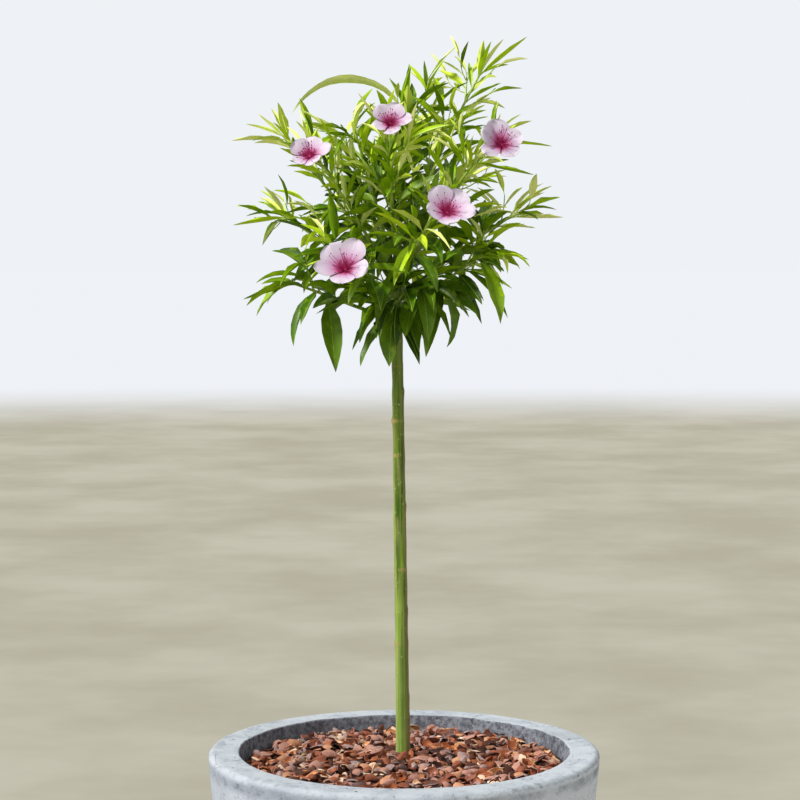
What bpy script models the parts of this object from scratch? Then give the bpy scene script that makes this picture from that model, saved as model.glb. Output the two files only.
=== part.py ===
"""A dwarf peach tree grown as a small standard in a round concrete planter.

Metres, +Z up. The origin is the middle of the planter's flat underside and -Y is the front.
A bearing is the compass angle in the ground plane: 0 is +X (right) and 90 is +Y (back).
"""

import itertools
import math
import random

import bmesh
import bpy
from mathutils import Matrix, Vector
from mathutils.bvhtree import BVHTree

GAP = 0.0003  # clearance between solids that touch in the real tree
UP = Vector((0, 0, 1))

# Planter: a tapered tub with a deep collar and a thick rounded rim
POT_HEIGHT = 0.380
RIM_RADIUS = 0.195
RIM_WIDTH = 0.031
RIM_ROUND = 0.006
INNER_ROUND = 0.002
COLLAR_HEIGHT = 0.108
COLLAR_TAPER = 0.0085
COLLAR_STEP = 0.009
FOOT_RADIUS = 0.130
WALL = 0.023
FLOOR = 0.026
POT_STEPS = 40

# Filling: compost with a low mound of shell mulch on it
MULCH_DROP = 0.013  # below the rim, at the planter's wall
MULCH_MOUND = 0.007  # rise from the wall to the stem
MULCH_ROUGH = 0.0022
MULCH_RINGS = 5
MULCH_COLLAR = 0.014  # flat patch round the stem's foot

# Trunk: a straight green stem, and above its head a thin leader that the upper shoots leave
TRUNK_FOOT = POT_HEIGHT - MULCH_DROP + MULCH_MOUND
TRUNK_HEAD = 0.812
TRUNK_TOP = 0.872
TRUNK_RADIUS = (0.0070, 0.0054)  # at the foot and at the head
LEADER_RADIUS = 0.0028  # at the top
TRUNK_LEAN = (-0.0008, -0.0080)  # x of its axis at the foot and at the head
ROOT_FLARE = 0.0012
FLARE_HEIGHT = 0.020
TRUNK_NODES = 11  # leaf joints up the stem, each with a small swelling
NODE_SWELL = 0.0005
TRUNK_SIDES = 9

# Boughs and shoots
BOUGH_RADIUS = (0.0023, 0.0017)
BOUGH_LENGTH = 0.046
BOUGH_STEPS = 3
STEM_RADIUS = (0.0022, 0.0011)
TWIG_RADIUS = (0.0016, 0.0009)
TURN = math.radians(144)  # from one leaf to the next round a shoot

# Crown: an egg that the leaves stay inside, a little higher on its right side
CROWN_MIDDLE = Vector((-0.001, 0.0, 0.925))
CROWN_RADII = Vector((0.171, 0.162, 0.166))
CROWN_POWER = 2.6
CROWN_TILT = 0.12

# One row a shoot: bearing and reach of its tip from the trunk's axis, height of the tip, height
# at which it leaves the trunk, and bow, from 0 for straight to 1 for first up and then out
SHOOTS = {
    "leader": dict(bearing=345, reach=0.012, tip=1.010, leaves=0.8723, bow=0.00),
    "top_right": dict(bearing=4, reach=0.084, tip=1.052, leaves=0.852, bow=0.34),
    "top_back": dict(bearing=80, reach=0.056, tip=0.996, leaves=0.845, bow=0.06),
    "top_left": dict(bearing=208, reach=0.048, tip=1.002, leaves=0.850, bow=0.04),
    "front_high": dict(bearing=264, reach=0.080, tip=0.990, leaves=0.846, bow=0.24),
    "left_back": dict(bearing=140, reach=0.072, tip=0.992, leaves=0.842, bow=0.20),
    "left_high": dict(bearing=181, reach=0.110, tip=0.990, leaves=0.838, bow=0.20),
    "left_front": dict(bearing=224, reach=0.100, tip=0.962, leaves=0.834, bow=0.22),
    "left_mid": dict(bearing=172, reach=0.112, tip=0.912, leaves=0.822, bow=0.20),
    "left_low": dict(bearing=190, reach=0.104, tip=0.846, leaves=0.806, bow=0.10),
    "front_left": dict(bearing=244, reach=0.094, tip=0.872, leaves=0.814, bow=0.24),
    "front_right": dict(bearing=292, reach=0.102, tip=0.918, leaves=0.828, bow=0.26),
    "right_high": dict(bearing=330, reach=0.108, tip=0.986, leaves=0.840, bow=0.24),
    "right_mid": dict(bearing=2, reach=0.116, tip=0.912, leaves=0.826, bow=0.22),
    "right_low": dict(bearing=336, reach=0.094, tip=0.874, leaves=0.808, bow=0.20),
    "back_right": dict(bearing=44, reach=0.106, tip=0.958, leaves=0.834, bow=0.24),
    "back_left": dict(bearing=112, reach=0.102, tip=0.942, leaves=0.828, bow=0.24),
    "back_low": dict(bearing=80, reach=0.100, tip=0.876, leaves=0.810, bow=0.20),
    "tuft_front": dict(bearing=262, reach=0.040, tip=0.838, leaves=0.800, bow=0.20),
    "tuft_right": dict(bearing=304, reach=0.046, tip=0.846, leaves=0.812, bow=0.20),
    "tuft_back": dict(bearing=128, reach=0.044, tip=0.842, leaves=0.806, bow=0.20),
}
BARE = ("leader", "tuft_front", "tuft_right", "tuft_back")  # leaves down to the trunk, no bough

# Leaf sizes, old and low in the crown first, then young and high
LEAF_LENGTH = (0.084, 0.044)
LEAF_WIDTH = (0.0225, 0.0080)
LEAF_PITCH = (math.radians(66), math.radians(30))  # away from the shoot, at its foot and tip
LEAF_ARCH = (1.25, 0.70)  # bend towards the ground, in radians
LEAF_LIFT = (-0.34, 0.34)  # how far leaves turn down, low in the crown, or up
OLD_HEIGHT = 0.82  # below it leaves are at their oldest
YOUNG_SPAN = Vector((0.11, 0, 0.115))  # out from the trunk, and up, to the youngest
LEAF_THICK = 0.0125  # of its length
LEAF_SPACING = 0.0125
LEAF_ROOT = (0.0, 0.05)  # place along the leaf and share of its width
ROOT_DEPTH = 0.4  # share of the leaf's thickness at its root
LEAF_SECTIONS = (  # least length of a leaf, and its sections from there on
    (0.090, ((0.16, 0.72), (0.38, 1.0), (0.60, 0.86), (0.82, 0.50))),
    (0.056, ((0.30, 0.96), (0.66, 0.74))),
    (0.000, ((0.40, 1.0),)),
)
LEAF_TRIES = 12
TWIG_STEP = 4  # leaves between one side twig and the next
TWIG_LENGTH = 0.054
TWIG_LEAVES = 4
TERMINAL_LEAVES = 3

# Single leaves that stand out: shoot, place along it, bearing and pitch above the level, length,
# width, arch and roll, in degrees
MARKED_LEAVES = (
    ("leader", 0.97, 177, 68, 0.140, 0.0115, 132, 40),
    ("left_low", 0.68, 282, -50, 0.082, 0.0205, 30, 8),
    ("right_low", 0.94, 296, -26, 0.080, 0.0205, 56, -6),
    ("right_low", 0.58, 250, -42, 0.082, 0.0190, 42, 6),
    ("tuft_front", 0.55, 262, -30, 0.066, 0.0230, 66, 0),
    ("tuft_front", 0.97, 214, -24, 0.062, 0.0210, 60, 10),
    ("tuft_right", 0.60, 300, -34, 0.064, 0.0200, 52, 0),
    ("tuft_right", 0.97, 280, -20, 0.070, 0.0220, 70, 0),
    ("front_right", 0.42, 232, -20, 0.084, 0.0240, 62, 0),
    ("right_mid", 0.98, 352, 6, 0.052, 0.0100, 14, 0),
    ("left_high", 0.97, 188, 10, 0.056, 0.0110, 22, 0),
    ("left_high", 0.99, 180, 46, 0.034, 0.0085, 12, 0),
    ("left_mid", 0.98, 184, -2, 0.054, 0.0095, 14, 0),
    ("left_low", 0.98, 186, -10, 0.052, 0.0100, 14, 0),
    ("right_high", 0.97, 352, 4, 0.060, 0.0095, 14, 0),
    ("right_high", 0.84, 346, -8, 0.060, 0.0105, 8, 0),
    ("tuft_right", 0.76, 334, -36, 0.060, 0.0180, 50, 0),
    ("top_right", 0.99, 6, 44, 0.059, 0.0105, 12, 0),
    ("top_right", 0.96, 300, 62, 0.046, 0.0090, 20, 0),
)

# Blossoms: shoot, centre, bearing and tilt of the face, radius, turn of the petals in degrees,
# and the side that the drawn-out petal is on
BLOSSOMS = (
    ("front_high", (-0.013, -0.098, 0.997), 262, 38, 0.0195, 16, 1),
    ("left_front", (-0.089, -0.086, 0.967), 250, 38, 0.0200, 34, 1),
    ("right_high", (0.092, -0.072, 0.978), 284, 38, 0.0250, 30, -1),
    ("front_right", (0.040, -0.118, 0.9135), 272, 38, 0.0255, 0, 1),
    ("front_left", (-0.055, -0.108, 0.8605), 262, 38, 0.0278, 0, -1),
)
PETALS = (  # degrees from the top, then length and width as shares of the blossom's radius
    (-22, 1.04, 0.94),
    (38, 1.00, 0.98),
    (100, 1.12, 0.70),
    (178, 0.82, 0.84),
    (260, 0.84, 0.80),
)
PETAL_SECTIONS = ((0.0, 0.20), (0.48, 0.96), (0.80, 0.88), (1.0, 0.34))
PETAL_ARCH = 0.12
PETAL_ROLL = 0.10  # so that each petal's edge lies over the next one's
PETAL_RISE = math.radians(20)
SIGHT_RADIUS = 0.9  # of the blossom's radius, kept clear in front of it
SIGHT_LENGTH = 0.075

# Gaps that run through the crown from front to back: x, height and radius
SKY_GAPS = (
    (-0.066, 1.020, 0.021),
    (-0.093, 0.938, 0.013),
    (0.058, 1.030, 0.011),
    (0.116, 0.958, 0.010),
    (0.118, 0.885, 0.012),
    (-0.118, 0.892, 0.013),
    (-0.140, 0.860, 0.014),
    (-0.117, 0.823, 0.017),
    (-0.055, 0.809, 0.015),
)


def between(ends, share):
    return ends[0] + (ends[1] - ends[0]) * share


def clear_scene():
    for obj in list(bpy.data.objects):
        bpy.data.objects.remove(obj, do_unlink=True)


def make_collection(name):
    collection = bpy.data.collections.new(name)
    bpy.context.scene.collection.children.link(collection)
    return collection


def make_material(name, color, roughness):
    material = bpy.data.materials.new(name)
    material.use_nodes = True
    shader = material.node_tree.nodes["Principled BSDF"]
    shader.inputs["Base Color"].default_value = (*color, 1)
    shader.inputs["Roughness"].default_value = roughness
    shader.inputs["Metallic"].default_value = 0.0
    return material


def mesh_object(name, points, faces, collection, material=None):
    mesh = bpy.data.meshes.new(name)
    mesh.from_pydata([tuple(p) for p in points], [], faces)
    mesh.update()
    obj = bpy.data.objects.new(name, mesh)
    collection.objects.link(obj)
    if material:
        mesh.materials.append(material)
    return obj


def apply_modifiers(obj):
    """Bakes the object's modifiers into its mesh."""
    graph = bpy.context.evaluated_depsgraph_get()
    old = obj.data
    obj.data = bpy.data.meshes.new_from_object(obj.evaluated_get(graph))
    obj.modifiers.clear()
    obj.data.name = obj.name
    if old.users == 0:
        bpy.data.meshes.remove(old)


def shade_smooth(obj, degrees=40):
    obj.data.shade_smooth()
    obj.data.set_sharp_from_angle(angle=math.radians(degrees))


# ---- Planter and filling ----


def turned(name, profile, collection, material):
    """A solid of revolution from a profile of (radius, height) that runs from top to bottom."""
    obj = mesh_object(
        name,
        [(r, 0, z) for r, z in profile],
        [],
        collection,
        material,
    )
    bm = bmesh.new()
    bm.from_mesh(obj.data)
    bm.verts.ensure_lookup_table()
    for a, b in zip(bm.verts[:-1], bm.verts[1:]):
        bm.edges.new((a, b))
    bm.to_mesh(obj.data)
    bm.free()
    screw = obj.modifiers.new("Turn", "SCREW")
    screw.steps = screw.render_steps = POT_STEPS
    screw.use_merge_vertices = True
    screw.merge_threshold = 0.00005
    screw.use_normal_calculate = True
    return obj


def arc(middle, radius, start, end, steps):
    """Points on an arc in the profile's plane, angles in degrees from the radius axis."""
    angles = [math.radians(start + (end - start) * i / steps) for i in range(steps + 1)]
    return [(middle[0] + radius * math.cos(a), middle[1] + radius * math.sin(a)) for a in angles]


def inner_radius(height):
    """The planter's inner wall, which follows its outside one wall's thickness in."""
    top = RIM_RADIUS - RIM_WIDTH
    return top + (FOOT_RADIUS - WALL - top) * (POT_HEIGHT - height) / (POT_HEIGHT - FLOOR)


def make_planter(collection, material):
    collar_foot = POT_HEIGHT - COLLAR_HEIGHT
    collar_radius = RIM_RADIUS - COLLAR_TAPER
    inside = RIM_RADIUS - RIM_WIDTH
    profile = [(0, FLOOR), (inner_radius(FLOOR), FLOOR)]
    profile += [(inner_radius(POT_HEIGHT * 0.55), POT_HEIGHT * 0.55)]
    profile += arc((inside + INNER_ROUND, POT_HEIGHT - INNER_ROUND), INNER_ROUND, 180, 90, 3)
    profile += arc((RIM_RADIUS - RIM_ROUND, POT_HEIGHT - RIM_ROUND), RIM_ROUND, 90, 0, 5)
    profile += [(collar_radius, collar_foot + 0.004), (collar_radius - 0.003, collar_foot)]
    profile += [(collar_radius - COLLAR_STEP, collar_foot - 0.002)]
    profile += [(FOOT_RADIUS, 0.006), (FOOT_RADIUS - 0.005, 0), (0, 0)]
    pot = turned("planter", profile, collection, material)
    apply_modifiers(pot)
    shade_smooth(pot)
    return pot


def make_filling(collection, material):
    """Compost up to the mulch line, with an uneven mound of mulch as its top."""
    edge = POT_HEIGHT - MULCH_DROP
    edge_radius = inner_radius(edge) - GAP
    rng = random.Random("mulch")
    rings = []
    for ring in range(MULCH_RINGS):
        share = ring / (MULCH_RINGS - 1)
        radius = MULCH_COLLAR + (edge_radius - MULCH_COLLAR) * share
        rings.append((radius, TRUNK_FOOT - MULCH_MOUND * share**1.6, share))
    points = [Vector((0, 0, TRUNK_FOOT - GAP))]
    faces = []
    for radius, height, share in rings:
        for step in range(POT_STEPS):
            angle = math.tau * step / POT_STEPS
            rough = rng.uniform(-MULCH_ROUGH, MULCH_ROUGH) if 0 < share < 1 else 0
            points.append(
                Vector((radius * math.cos(angle), radius * math.sin(angle), height - GAP + rough))
            )
    low = FLOOR + GAP
    bend = POT_HEIGHT * 0.55
    for height in (bend, low):
        for step in range(POT_STEPS):
            angle = math.tau * step / POT_STEPS
            radius = inner_radius(height) - GAP
            points.append(Vector((radius * math.cos(angle), radius * math.sin(angle), height)))
    points.append(Vector((0, 0, low)))
    rows = MULCH_RINGS + 2
    for step in range(POT_STEPS):
        after = (step + 1) % POT_STEPS
        faces.append((0, 1 + step, 1 + after))
        for row in range(rows - 1):
            a, b = 1 + row * POT_STEPS, 1 + (row + 1) * POT_STEPS
            faces.append((a + step, b + step, b + after, a + after))
        last = 1 + (rows - 1) * POT_STEPS
        faces.append((last + step, len(points) - 1, last + after))
    return mesh_object("filling", points, faces, collection, material)


# ---- Limbs ----


def trunk_axis(height):
    share = (height - TRUNK_FOOT) / (TRUNK_TOP - TRUNK_FOOT)
    return Vector((between(TRUNK_LEAN, share), 0, height))


def trunk_radius(height):
    if height > TRUNK_HEAD:
        share = (height - TRUNK_HEAD) / (TRUNK_TOP - TRUNK_HEAD)
        return between((TRUNK_RADIUS[1], LEADER_RADIUS), share)
    flare = ROOT_FLARE * max(0, 1 - (height - TRUNK_FOOT) / FLARE_HEIGHT) ** 2
    return between(TRUNK_RADIUS, (height - TRUNK_FOOT) / (TRUNK_HEAD - TRUNK_FOOT)) + flare


def tube(name, points, radii, sides, collection, material):
    """A round limb: a curve swept with an n-sided profile, as a closed mesh."""
    profile = bpy.data.curves.new(name + "_profile", "CURVE")
    profile.dimensions = "2D"
    ring = profile.splines.new("POLY")
    ring.points.add(sides - 1)
    for i in range(sides):
        angle = math.tau * i / sides
        ring.points[i].co = (math.cos(angle), math.sin(angle), 0, 1)
    ring.use_cyclic_u = True
    section = bpy.data.objects.new(name + "_profile", profile)
    curve = bpy.data.curves.new(name, "CURVE")
    curve.dimensions = "3D"
    curve.bevel_mode = "OBJECT"
    curve.bevel_object = section
    curve.use_fill_caps = True
    spline = curve.splines.new("POLY")
    spline.points.add(len(points) - 1)
    for point, place, radius in zip(spline.points, points, radii):
        point.co = (*place, 1)
        point.radius = radius
    guide = bpy.data.objects.new(name + "_guide", curve)
    collection.objects.link(guide)
    graph = bpy.context.evaluated_depsgraph_get()
    mesh = bpy.data.meshes.new_from_object(guide.evaluated_get(graph))
    bpy.data.objects.remove(guide)
    bpy.data.objects.remove(section)
    bm = bmesh.new()
    bm.from_mesh(mesh)
    bmesh.ops.remove_doubles(bm, verts=bm.verts, dist=0.00002)
    bmesh.ops.recalc_face_normals(bm, faces=bm.faces)
    bm.to_mesh(mesh)
    bm.free()
    mesh.name = name
    mesh.materials.clear()
    mesh.materials.append(material)
    obj = bpy.data.objects.new(name, mesh)
    collection.objects.link(obj)
    return obj


def make_trunk(collection, material):
    heights = [TRUNK_FOOT, TRUNK_FOOT + FLARE_HEIGHT * 0.35, TRUNK_FOOT + FLARE_HEIGHT]
    radii = [trunk_radius(h) for h in heights]
    span = TRUNK_HEAD - heights[-1]
    for node in range(1, TRUNK_NODES + 1):
        height = heights[2] + span * node / (TRUNK_NODES + 0.6)
        for offset, swell in ((-0.006, 0.0), (0.0, NODE_SWELL), (0.004, 0.0)):
            heights.append(height + offset)
            radii.append(trunk_radius(height) + swell)
    for height in (TRUNK_HEAD, (TRUNK_HEAD + TRUNK_TOP) / 2, TRUNK_TOP):
        heights.append(height)
        radii.append(trunk_radius(height))
    trunk = tube(
        "trunk", [trunk_axis(h) for h in heights], radii, TRUNK_SIDES, collection, material
    )
    shade_smooth(trunk)
    return trunk


class Spine:
    """A shoot's axis: a quadratic Bezier curve from the trunk's axis to the tip."""

    def __init__(self, row):
        angle = math.radians(row["bearing"])
        self.start = trunk_axis(row["leaves"])
        self.out = Vector((math.cos(angle), math.sin(angle), 0))
        self.end = Vector((TRUNK_LEAN[1], 0, 0)) + self.out * row["reach"] + UP * row["tip"]
        reach = self.end - self.start
        level = Vector((reach.x, reach.y, 0))
        self.bend = self.start + level * (0.5 - row["bow"] * 0.5) + UP * reach.z * 0.5
        self.length = (self.end - self.start).length

    def point(self, t):
        return self.start.lerp(self.bend, t).lerp(self.bend.lerp(self.end, t), t)

    def tangent(self, t):
        return (self.bend.lerp(self.end, t) - self.start.lerp(self.bend, t)).normalized()


def make_bough(name, spine, collection, material, trunk_cutter):
    """The bare foot of a shoot, fitted to the trunk's side. Returns it and where it ends."""
    end = (BOUGH_LENGTH + TRUNK_RADIUS[1]) / spine.length
    shares = [i / BOUGH_STEPS for i in range(BOUGH_STEPS + 1)]
    points = [spine.point(end * share) for share in shares]
    radii = [between(BOUGH_RADIUS, share) for share in shares]
    bough = tube(name, points, radii, 6, collection, material)
    cut = bough.modifiers.new("Fit to trunk", "BOOLEAN")
    cut.operation = "DIFFERENCE"
    cut.object = trunk_cutter
    apply_modifiers(bough)
    shade_smooth(bough)
    return bough, end


# ---- Leaves and twigs ----


def frame_round(axis):
    """Two directions square to an axis and to each other."""
    side = axis.cross(UP)
    if side.length < 1e-3:
        side = Vector((1, 0, 0))
    side.normalize()
    return side, axis.cross(side).normalized()


def loft(sections, tip=None):
    """Points and faces of a closed skin over equal-sided sections, ending in a cap or a tip."""
    sides = len(sections[0])
    points = [p for section in sections for p in section]
    faces = [tuple(range(sides))[::-1]]
    for row in range(len(sections) - 1):
        for i in range(sides):
            j = (i + 1) % sides
            a, b = row * sides, (row + 1) * sides
            faces.append((a + i, a + j, b + j, b + i))
    last = (len(sections) - 1) * sides
    if tip is None:
        faces.append(tuple(last + i for i in range(sides)))
    else:
        points.append(tip)
        faces += [(last + i, last + (i + 1) % sides, len(points) - 1) for i in range(sides)]
    return points, faces


def ring_at(point, axis, radius, sides, side=None):
    """A ring square to axis. Its first point is turned to side, where that is given."""
    u, v = frame_round(axis)
    if side:
        u = (side - axis * side.dot(axis)).normalized()
        v = axis.cross(u)
    angles = [math.tau * i / sides for i in range(sides)]
    return [point + (u * math.cos(a) + v * math.sin(a)) * radius for a in angles]


def rod(curve, start, end, radii, steps, sides):
    """A tapering twig along curve, which gives a point and a direction at each share."""
    sections = []
    side = frame_round(curve(start)[1])[0]
    for i in range(steps + 1):
        point, axis = curve(between((start, end), i / steps))
        sections.append(ring_at(point, axis, between(radii, i / steps), sides, side))
    return loft(sections)


class Blade:
    """A leaf or petal: an arc from its root that bends towards down, with a keeled section."""

    def __init__(self, root, heading, down, length, width, arch, roll=0.0):
        self.root = root
        self.heading = heading.normalized()
        self.down = (down - self.heading * down.dot(self.heading)).normalized()
        self.length, self.width, self.arch, self.roll = length, width, arch, roll

    def on_arc(self, t):
        return self.point(t), self.axes(t)[0]

    def point(self, t):
        bend = max(self.arch, 1e-4)
        along = math.sin(bend * t) / bend
        drop = (1 - math.cos(bend * t)) / bend
        return self.root + (self.heading * along + self.down * drop) * self.length

    def outer_sections(self):
        return next(sections for least, sections in LEAF_SECTIONS if self.length >= least)

    def axes(self, t):
        """Direction, side and underside at a share of the length."""
        angle = self.arch * t
        ahead = self.heading * math.cos(angle) + self.down * math.sin(angle)
        under = self.down * math.cos(angle) - self.heading * math.sin(angle)
        turn = Matrix.Rotation(self.roll, 3, ahead)
        under = turn @ under
        return ahead, ahead.cross(under).normalized(), under

    def solid(self, sections=None, grow=0.0, pointed=True):
        """Points and faces of the blade, with every side moved out by grow."""
        if sections is None:
            sections = (LEAF_ROOT, *self.outer_sections())
        thick = max(self.length * LEAF_THICK, 0.0009)
        rings = []
        for t, share in sections:
            middle = self.point(t)
            ahead, side, under = self.axes(t)
            half = self.width * 0.5 * share + grow
            depth = thick * (1.0 if t > 0 else ROOT_DEPTH) + grow
            middle = middle - ahead * grow if t == 0 else middle
            rings.append(
                [
                    middle - side * half - under * grow,
                    middle + under * depth,
                    middle + side * half - under * grow,
                ]
            )
        tip = self.point(1.0) + self.axes(1.0)[0] * grow if pointed else None
        return loft(rings, tip)


class Crown:
    """Everything that a new leaf must keep clear of, and the rule for where leaves may go."""

    def __init__(self):
        self.taken = []
        self.sights = []
        for _, centre, bearing, tilt, radius, _, _ in BLOSSOMS:
            self.sights.append((Vector(centre), facing(bearing, tilt), radius))

    def add(self, owner, points, faces):
        tree = BVHTree.FromPolygons(points, faces)
        low = Vector([min(p[i] for p in points) for i in range(3)])
        high = Vector([max(p[i] for p in points) for i in range(3)])
        self.taken.append((owner, tree, low, high))

    def add_object(self, owner, obj):
        points = [obj.matrix_world @ v.co for v in obj.data.vertices]
        self.add(owner, points, [tuple(p.vertices) for p in obj.data.polygons])

    def is_clear(self, points, faces, own=None):
        """Whether a skin touches nothing, apart from what belongs to own."""
        tree = BVHTree.FromPolygons(points, faces)
        low = Vector([min(p[i] for p in points) for i in range(3)])
        high = Vector([max(p[i] for p in points) for i in range(3)])
        for owner, taken, low_b, high_b in self.taken:
            if owner == own:
                continue
            if any(low[i] > high_b[i] or high[i] < low_b[i] for i in range(3)):
                continue
            if tree.overlap(taken):
                return False
        return True

    def allows(self, point):
        """Whether a leaf may pass through a point: inside the egg, out of gaps and sight lines."""
        offset = point - CROWN_MIDDLE
        offset.z -= CROWN_TILT * offset.x
        size = sum(abs(offset[i] / CROWN_RADII[i]) ** CROWN_POWER for i in range(3))
        if size > 1:
            return False
        for x, z, radius in SKY_GAPS:
            if (point.x - x) ** 2 + (point.z - z) ** 2 < radius**2:
                return False
        return self.shows_blossoms(point)

    def shows_blossoms(self, point):
        for centre, face, radius in self.sights:
            along = (point - centre).dot(face)
            if -0.004 < along < SIGHT_LENGTH:
                if (point - centre - face * along).length < radius * SIGHT_RADIUS:
                    return False
            sight = Vector((0, -1, 0))
            along = (point - centre).dot(sight)
            if along > 0 and (point - centre - sight * along).length < radius * SIGHT_RADIUS:
                return False
        return True


def facing(bearing, tilt):
    a, b = math.radians(bearing), math.radians(tilt)
    return Vector((math.cos(a) * math.cos(b), math.sin(a) * math.cos(b), math.sin(b)))


def leaf_on(key, point, axis, turn, age, tries):
    """One try at a leaf on a shoot. age runs from 0 at a shoot's foot to 1 at its tip."""
    rng = random.Random(f"{key}/{tries}")
    u, v = frame_round(axis)
    turn += rng.uniform(-0.35, 0.35) + tries * rng.uniform(-0.9, 0.9)
    pitch = between(LEAF_PITCH, age) + rng.uniform(-0.2, 0.2 + 0.03 * tries)
    heading = axis * math.cos(pitch) + (u * math.cos(turn) + v * math.sin(turn)) * math.sin(pitch)
    high = min(1, max(0, (point.z - OLD_HEIGHT) / YOUNG_SPAN.z))
    out = min(1, math.hypot(point.x, point.y) / YOUNG_SPAN.x)
    young = min(1, 0.2 * age + 0.6 * high + 0.35 * out)
    heading = (heading + UP * between(LEAF_LIFT, high)).normalized()
    arch = between(LEAF_ARCH, high) * rng.uniform(0.5, 1.25)
    length = between(LEAF_LENGTH, young) * rng.uniform(0.82, 1.16) * (1 - 0.035 * tries)
    width = between(LEAF_WIDTH, young) * rng.uniform(0.85, 1.15) * (1 - 0.015 * tries)
    down = -UP if abs(heading.z) < 0.985 else -u
    return Blade(point, heading, down, length, width, arch, rng.uniform(-0.8, 0.8))


class Spray:
    """One mass of foliage: a stem with side twigs, leaves and blossoms, as loose closed skins."""

    def __init__(self, name, spine, start, crown):
        self.name, self.spine, self.crown = name, spine, crown
        self.start = start + GAP / spine.length
        self.skins = []
        self.stem = rod(self.on_spine, self.start, 1.0, STEM_RADIUS, 4, 3)
        crown.add(name, *self.stem)

    def on_spine(self, t):
        return self.spine.point(t), self.spine.tangent(t)

    def keep(self, points, faces):
        self.skins.append((points, faces))
        self.crown.add(self.name, points, faces)

    def fits(self, blade):
        """Whether a leaf is clear of everything but what its root is sunk in."""
        if not self.crown.is_clear(*blade.solid(grow=2 * GAP), own=self.name):
            return False
        return self.crown.is_clear(*blade.solid(blade.outer_sections(), grow=GAP))

    def leaf(self, key, point, axis, turn, age):
        """The first try at a leaf that fits, if any does."""
        for tries in range(LEAF_TRIES):
            blade = leaf_on(f"{self.name}/{key}", point, axis, turn, age, tries)
            inside = all(self.crown.allows(blade.point(t)) for t in (0.35, 0.7, 1.0))
            if inside and self.fits(blade):
                self.keep(*blade.solid())
                return

    def twig(self, key, share, turn):
        """A side twig, as a path that its leaves sit on, or None where it has no room."""
        rng = random.Random(f"{self.name}/twig{key}")
        root, axis = self.on_spine(share)
        u, v = frame_round(axis)
        for _ in range(4):
            spread = rng.uniform(0.6, 0.95)
            turn += rng.uniform(-0.5, 0.5)
            out = u * math.cos(turn) + v * math.sin(turn)
            heading = (axis * math.cos(spread) + out * math.sin(spread)).normalized()
            length = TWIG_LENGTH * rng.uniform(0.7, 1.15) * (1.15 - 0.5 * share)
            path = Blade(root, heading, UP, length, 0, 0.45)
            wide = (TWIG_RADIUS[0] + 2 * GAP, TWIG_RADIUS[1] + 2 * GAP)
            whole = rod(path.on_arc, 0, 1, wide, 2, 3)
            outer = rod(path.on_arc, 0.15, 1, wide, 2, 3)
            if not self.crown.allows(path.point(1.0)):
                continue
            if self.crown.is_clear(*whole, own=self.name) and self.crown.is_clear(*outer):
                self.keep(*rod(path.on_arc, 0, 1, TWIG_RADIUS, 2, 3))
                return path
        return None

    def grow(self, index):
        """Adds twigs and leaves up the stem, and waits after each for the other sprays."""
        length = self.spine.length * (1 - self.start)
        count = int(length / LEAF_SPACING)
        for i in range(count):
            age = (i + 0.5) / count
            share = self.start + (1 - self.start) * age
            point, axis = self.on_spine(share)
            turn = TURN * i + index * 1.1
            self.leaf(i, point, axis, turn, age)
            yield
            path = self.twig(i, share, turn + 2.4) if i % TWIG_STEP == TWIG_STEP - 2 else None
            for j in range(TWIG_LEAVES if path else 0):
                t = 0.985 * (j + 1) / TWIG_LEAVES
                self.leaf(f"{i}.{j}", *path.on_arc(t), turn + TURN * j, 0.45 + 0.5 * t)
                yield
        for i in range(TERMINAL_LEAVES):
            point, axis = self.on_spine(0.985)
            self.leaf(f"tip{i}", point, axis, 2.1 * i + index, 1.0 + 0.25 * (i == 0))
            yield

    def marked_leaf(self, share, bearing, pitch, length, width, arch, roll):
        heading = facing(bearing, pitch)
        blade = Blade(
            self.spine.point(share), heading, -UP, length, width, math.radians(arch),
            math.radians(roll),
        )
        if self.fits(blade):
            self.keep(*blade.solid())

    def blossom(self, centre, bearing, tilt, radius, turned, side):
        """Five cupped petals on a short spur from the nearest place on the stem."""
        face = facing(bearing, tilt)
        shares = [self.start + (1 - self.start) * i / 40 for i in range(41)]
        share = min(shares, key=lambda t: (self.spine.point(t) - centre).length)
        root = self.spine.point(share)
        base = centre - face * 0.003
        spur = (base - root).normalized()
        self.keep(
            *rod(lambda t: (root.lerp(base + spur * 0.002, t), spur), 0, 1, TWIG_RADIUS, 1, 4)
        )
        cup = [ring_at(centre - face * d, face, r, 5) for d, r in ((0.006, 0.0016), (-0.001, 0.004))]
        self.keep(*loft(cup))
        top = (UP - face * face.z).normalized()
        right = top.cross(face)
        for angle, long, wide in PETALS:
            turn = math.radians(angle * side - turned)
            out = top * math.cos(turn) + right * math.sin(turn)
            heading = out * math.cos(PETAL_RISE) + face * math.sin(PETAL_RISE)
            root = centre + out * 0.001
            sizes = (radius * long, radius * wide)
            petal = Blade(root, heading, face, *sizes, PETAL_ARCH, PETAL_ROLL)
            self.keep(*petal.solid(PETAL_SECTIONS, pointed=False))

    def fuse(self, collection, material, trunk_cutter):
        """All the skins joined into one closed solid by one union, clear of the trunk."""
        loose = make_collection(self.name + "_loose")
        for i, (points, faces) in enumerate(self.skins):
            mesh_object(f"{self.name}_{i}", points, faces, loose)
        obj = mesh_object(self.name, *self.stem, collection, material)
        union = obj.modifiers.new("Fuse", "BOOLEAN")
        union.operation = "UNION"
        union.operand_type = "COLLECTION"
        union.collection = loose
        union.solver = "MANIFOLD"
        cut = obj.modifiers.new("Fit to trunk", "BOOLEAN")
        cut.operation = "DIFFERENCE"
        cut.object = trunk_cutter
        apply_modifiers(obj)
        for piece in list(loose.objects):
            bpy.data.objects.remove(piece, do_unlink=True)
        bpy.data.collections.remove(loose)
        keep_largest(obj)


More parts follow.
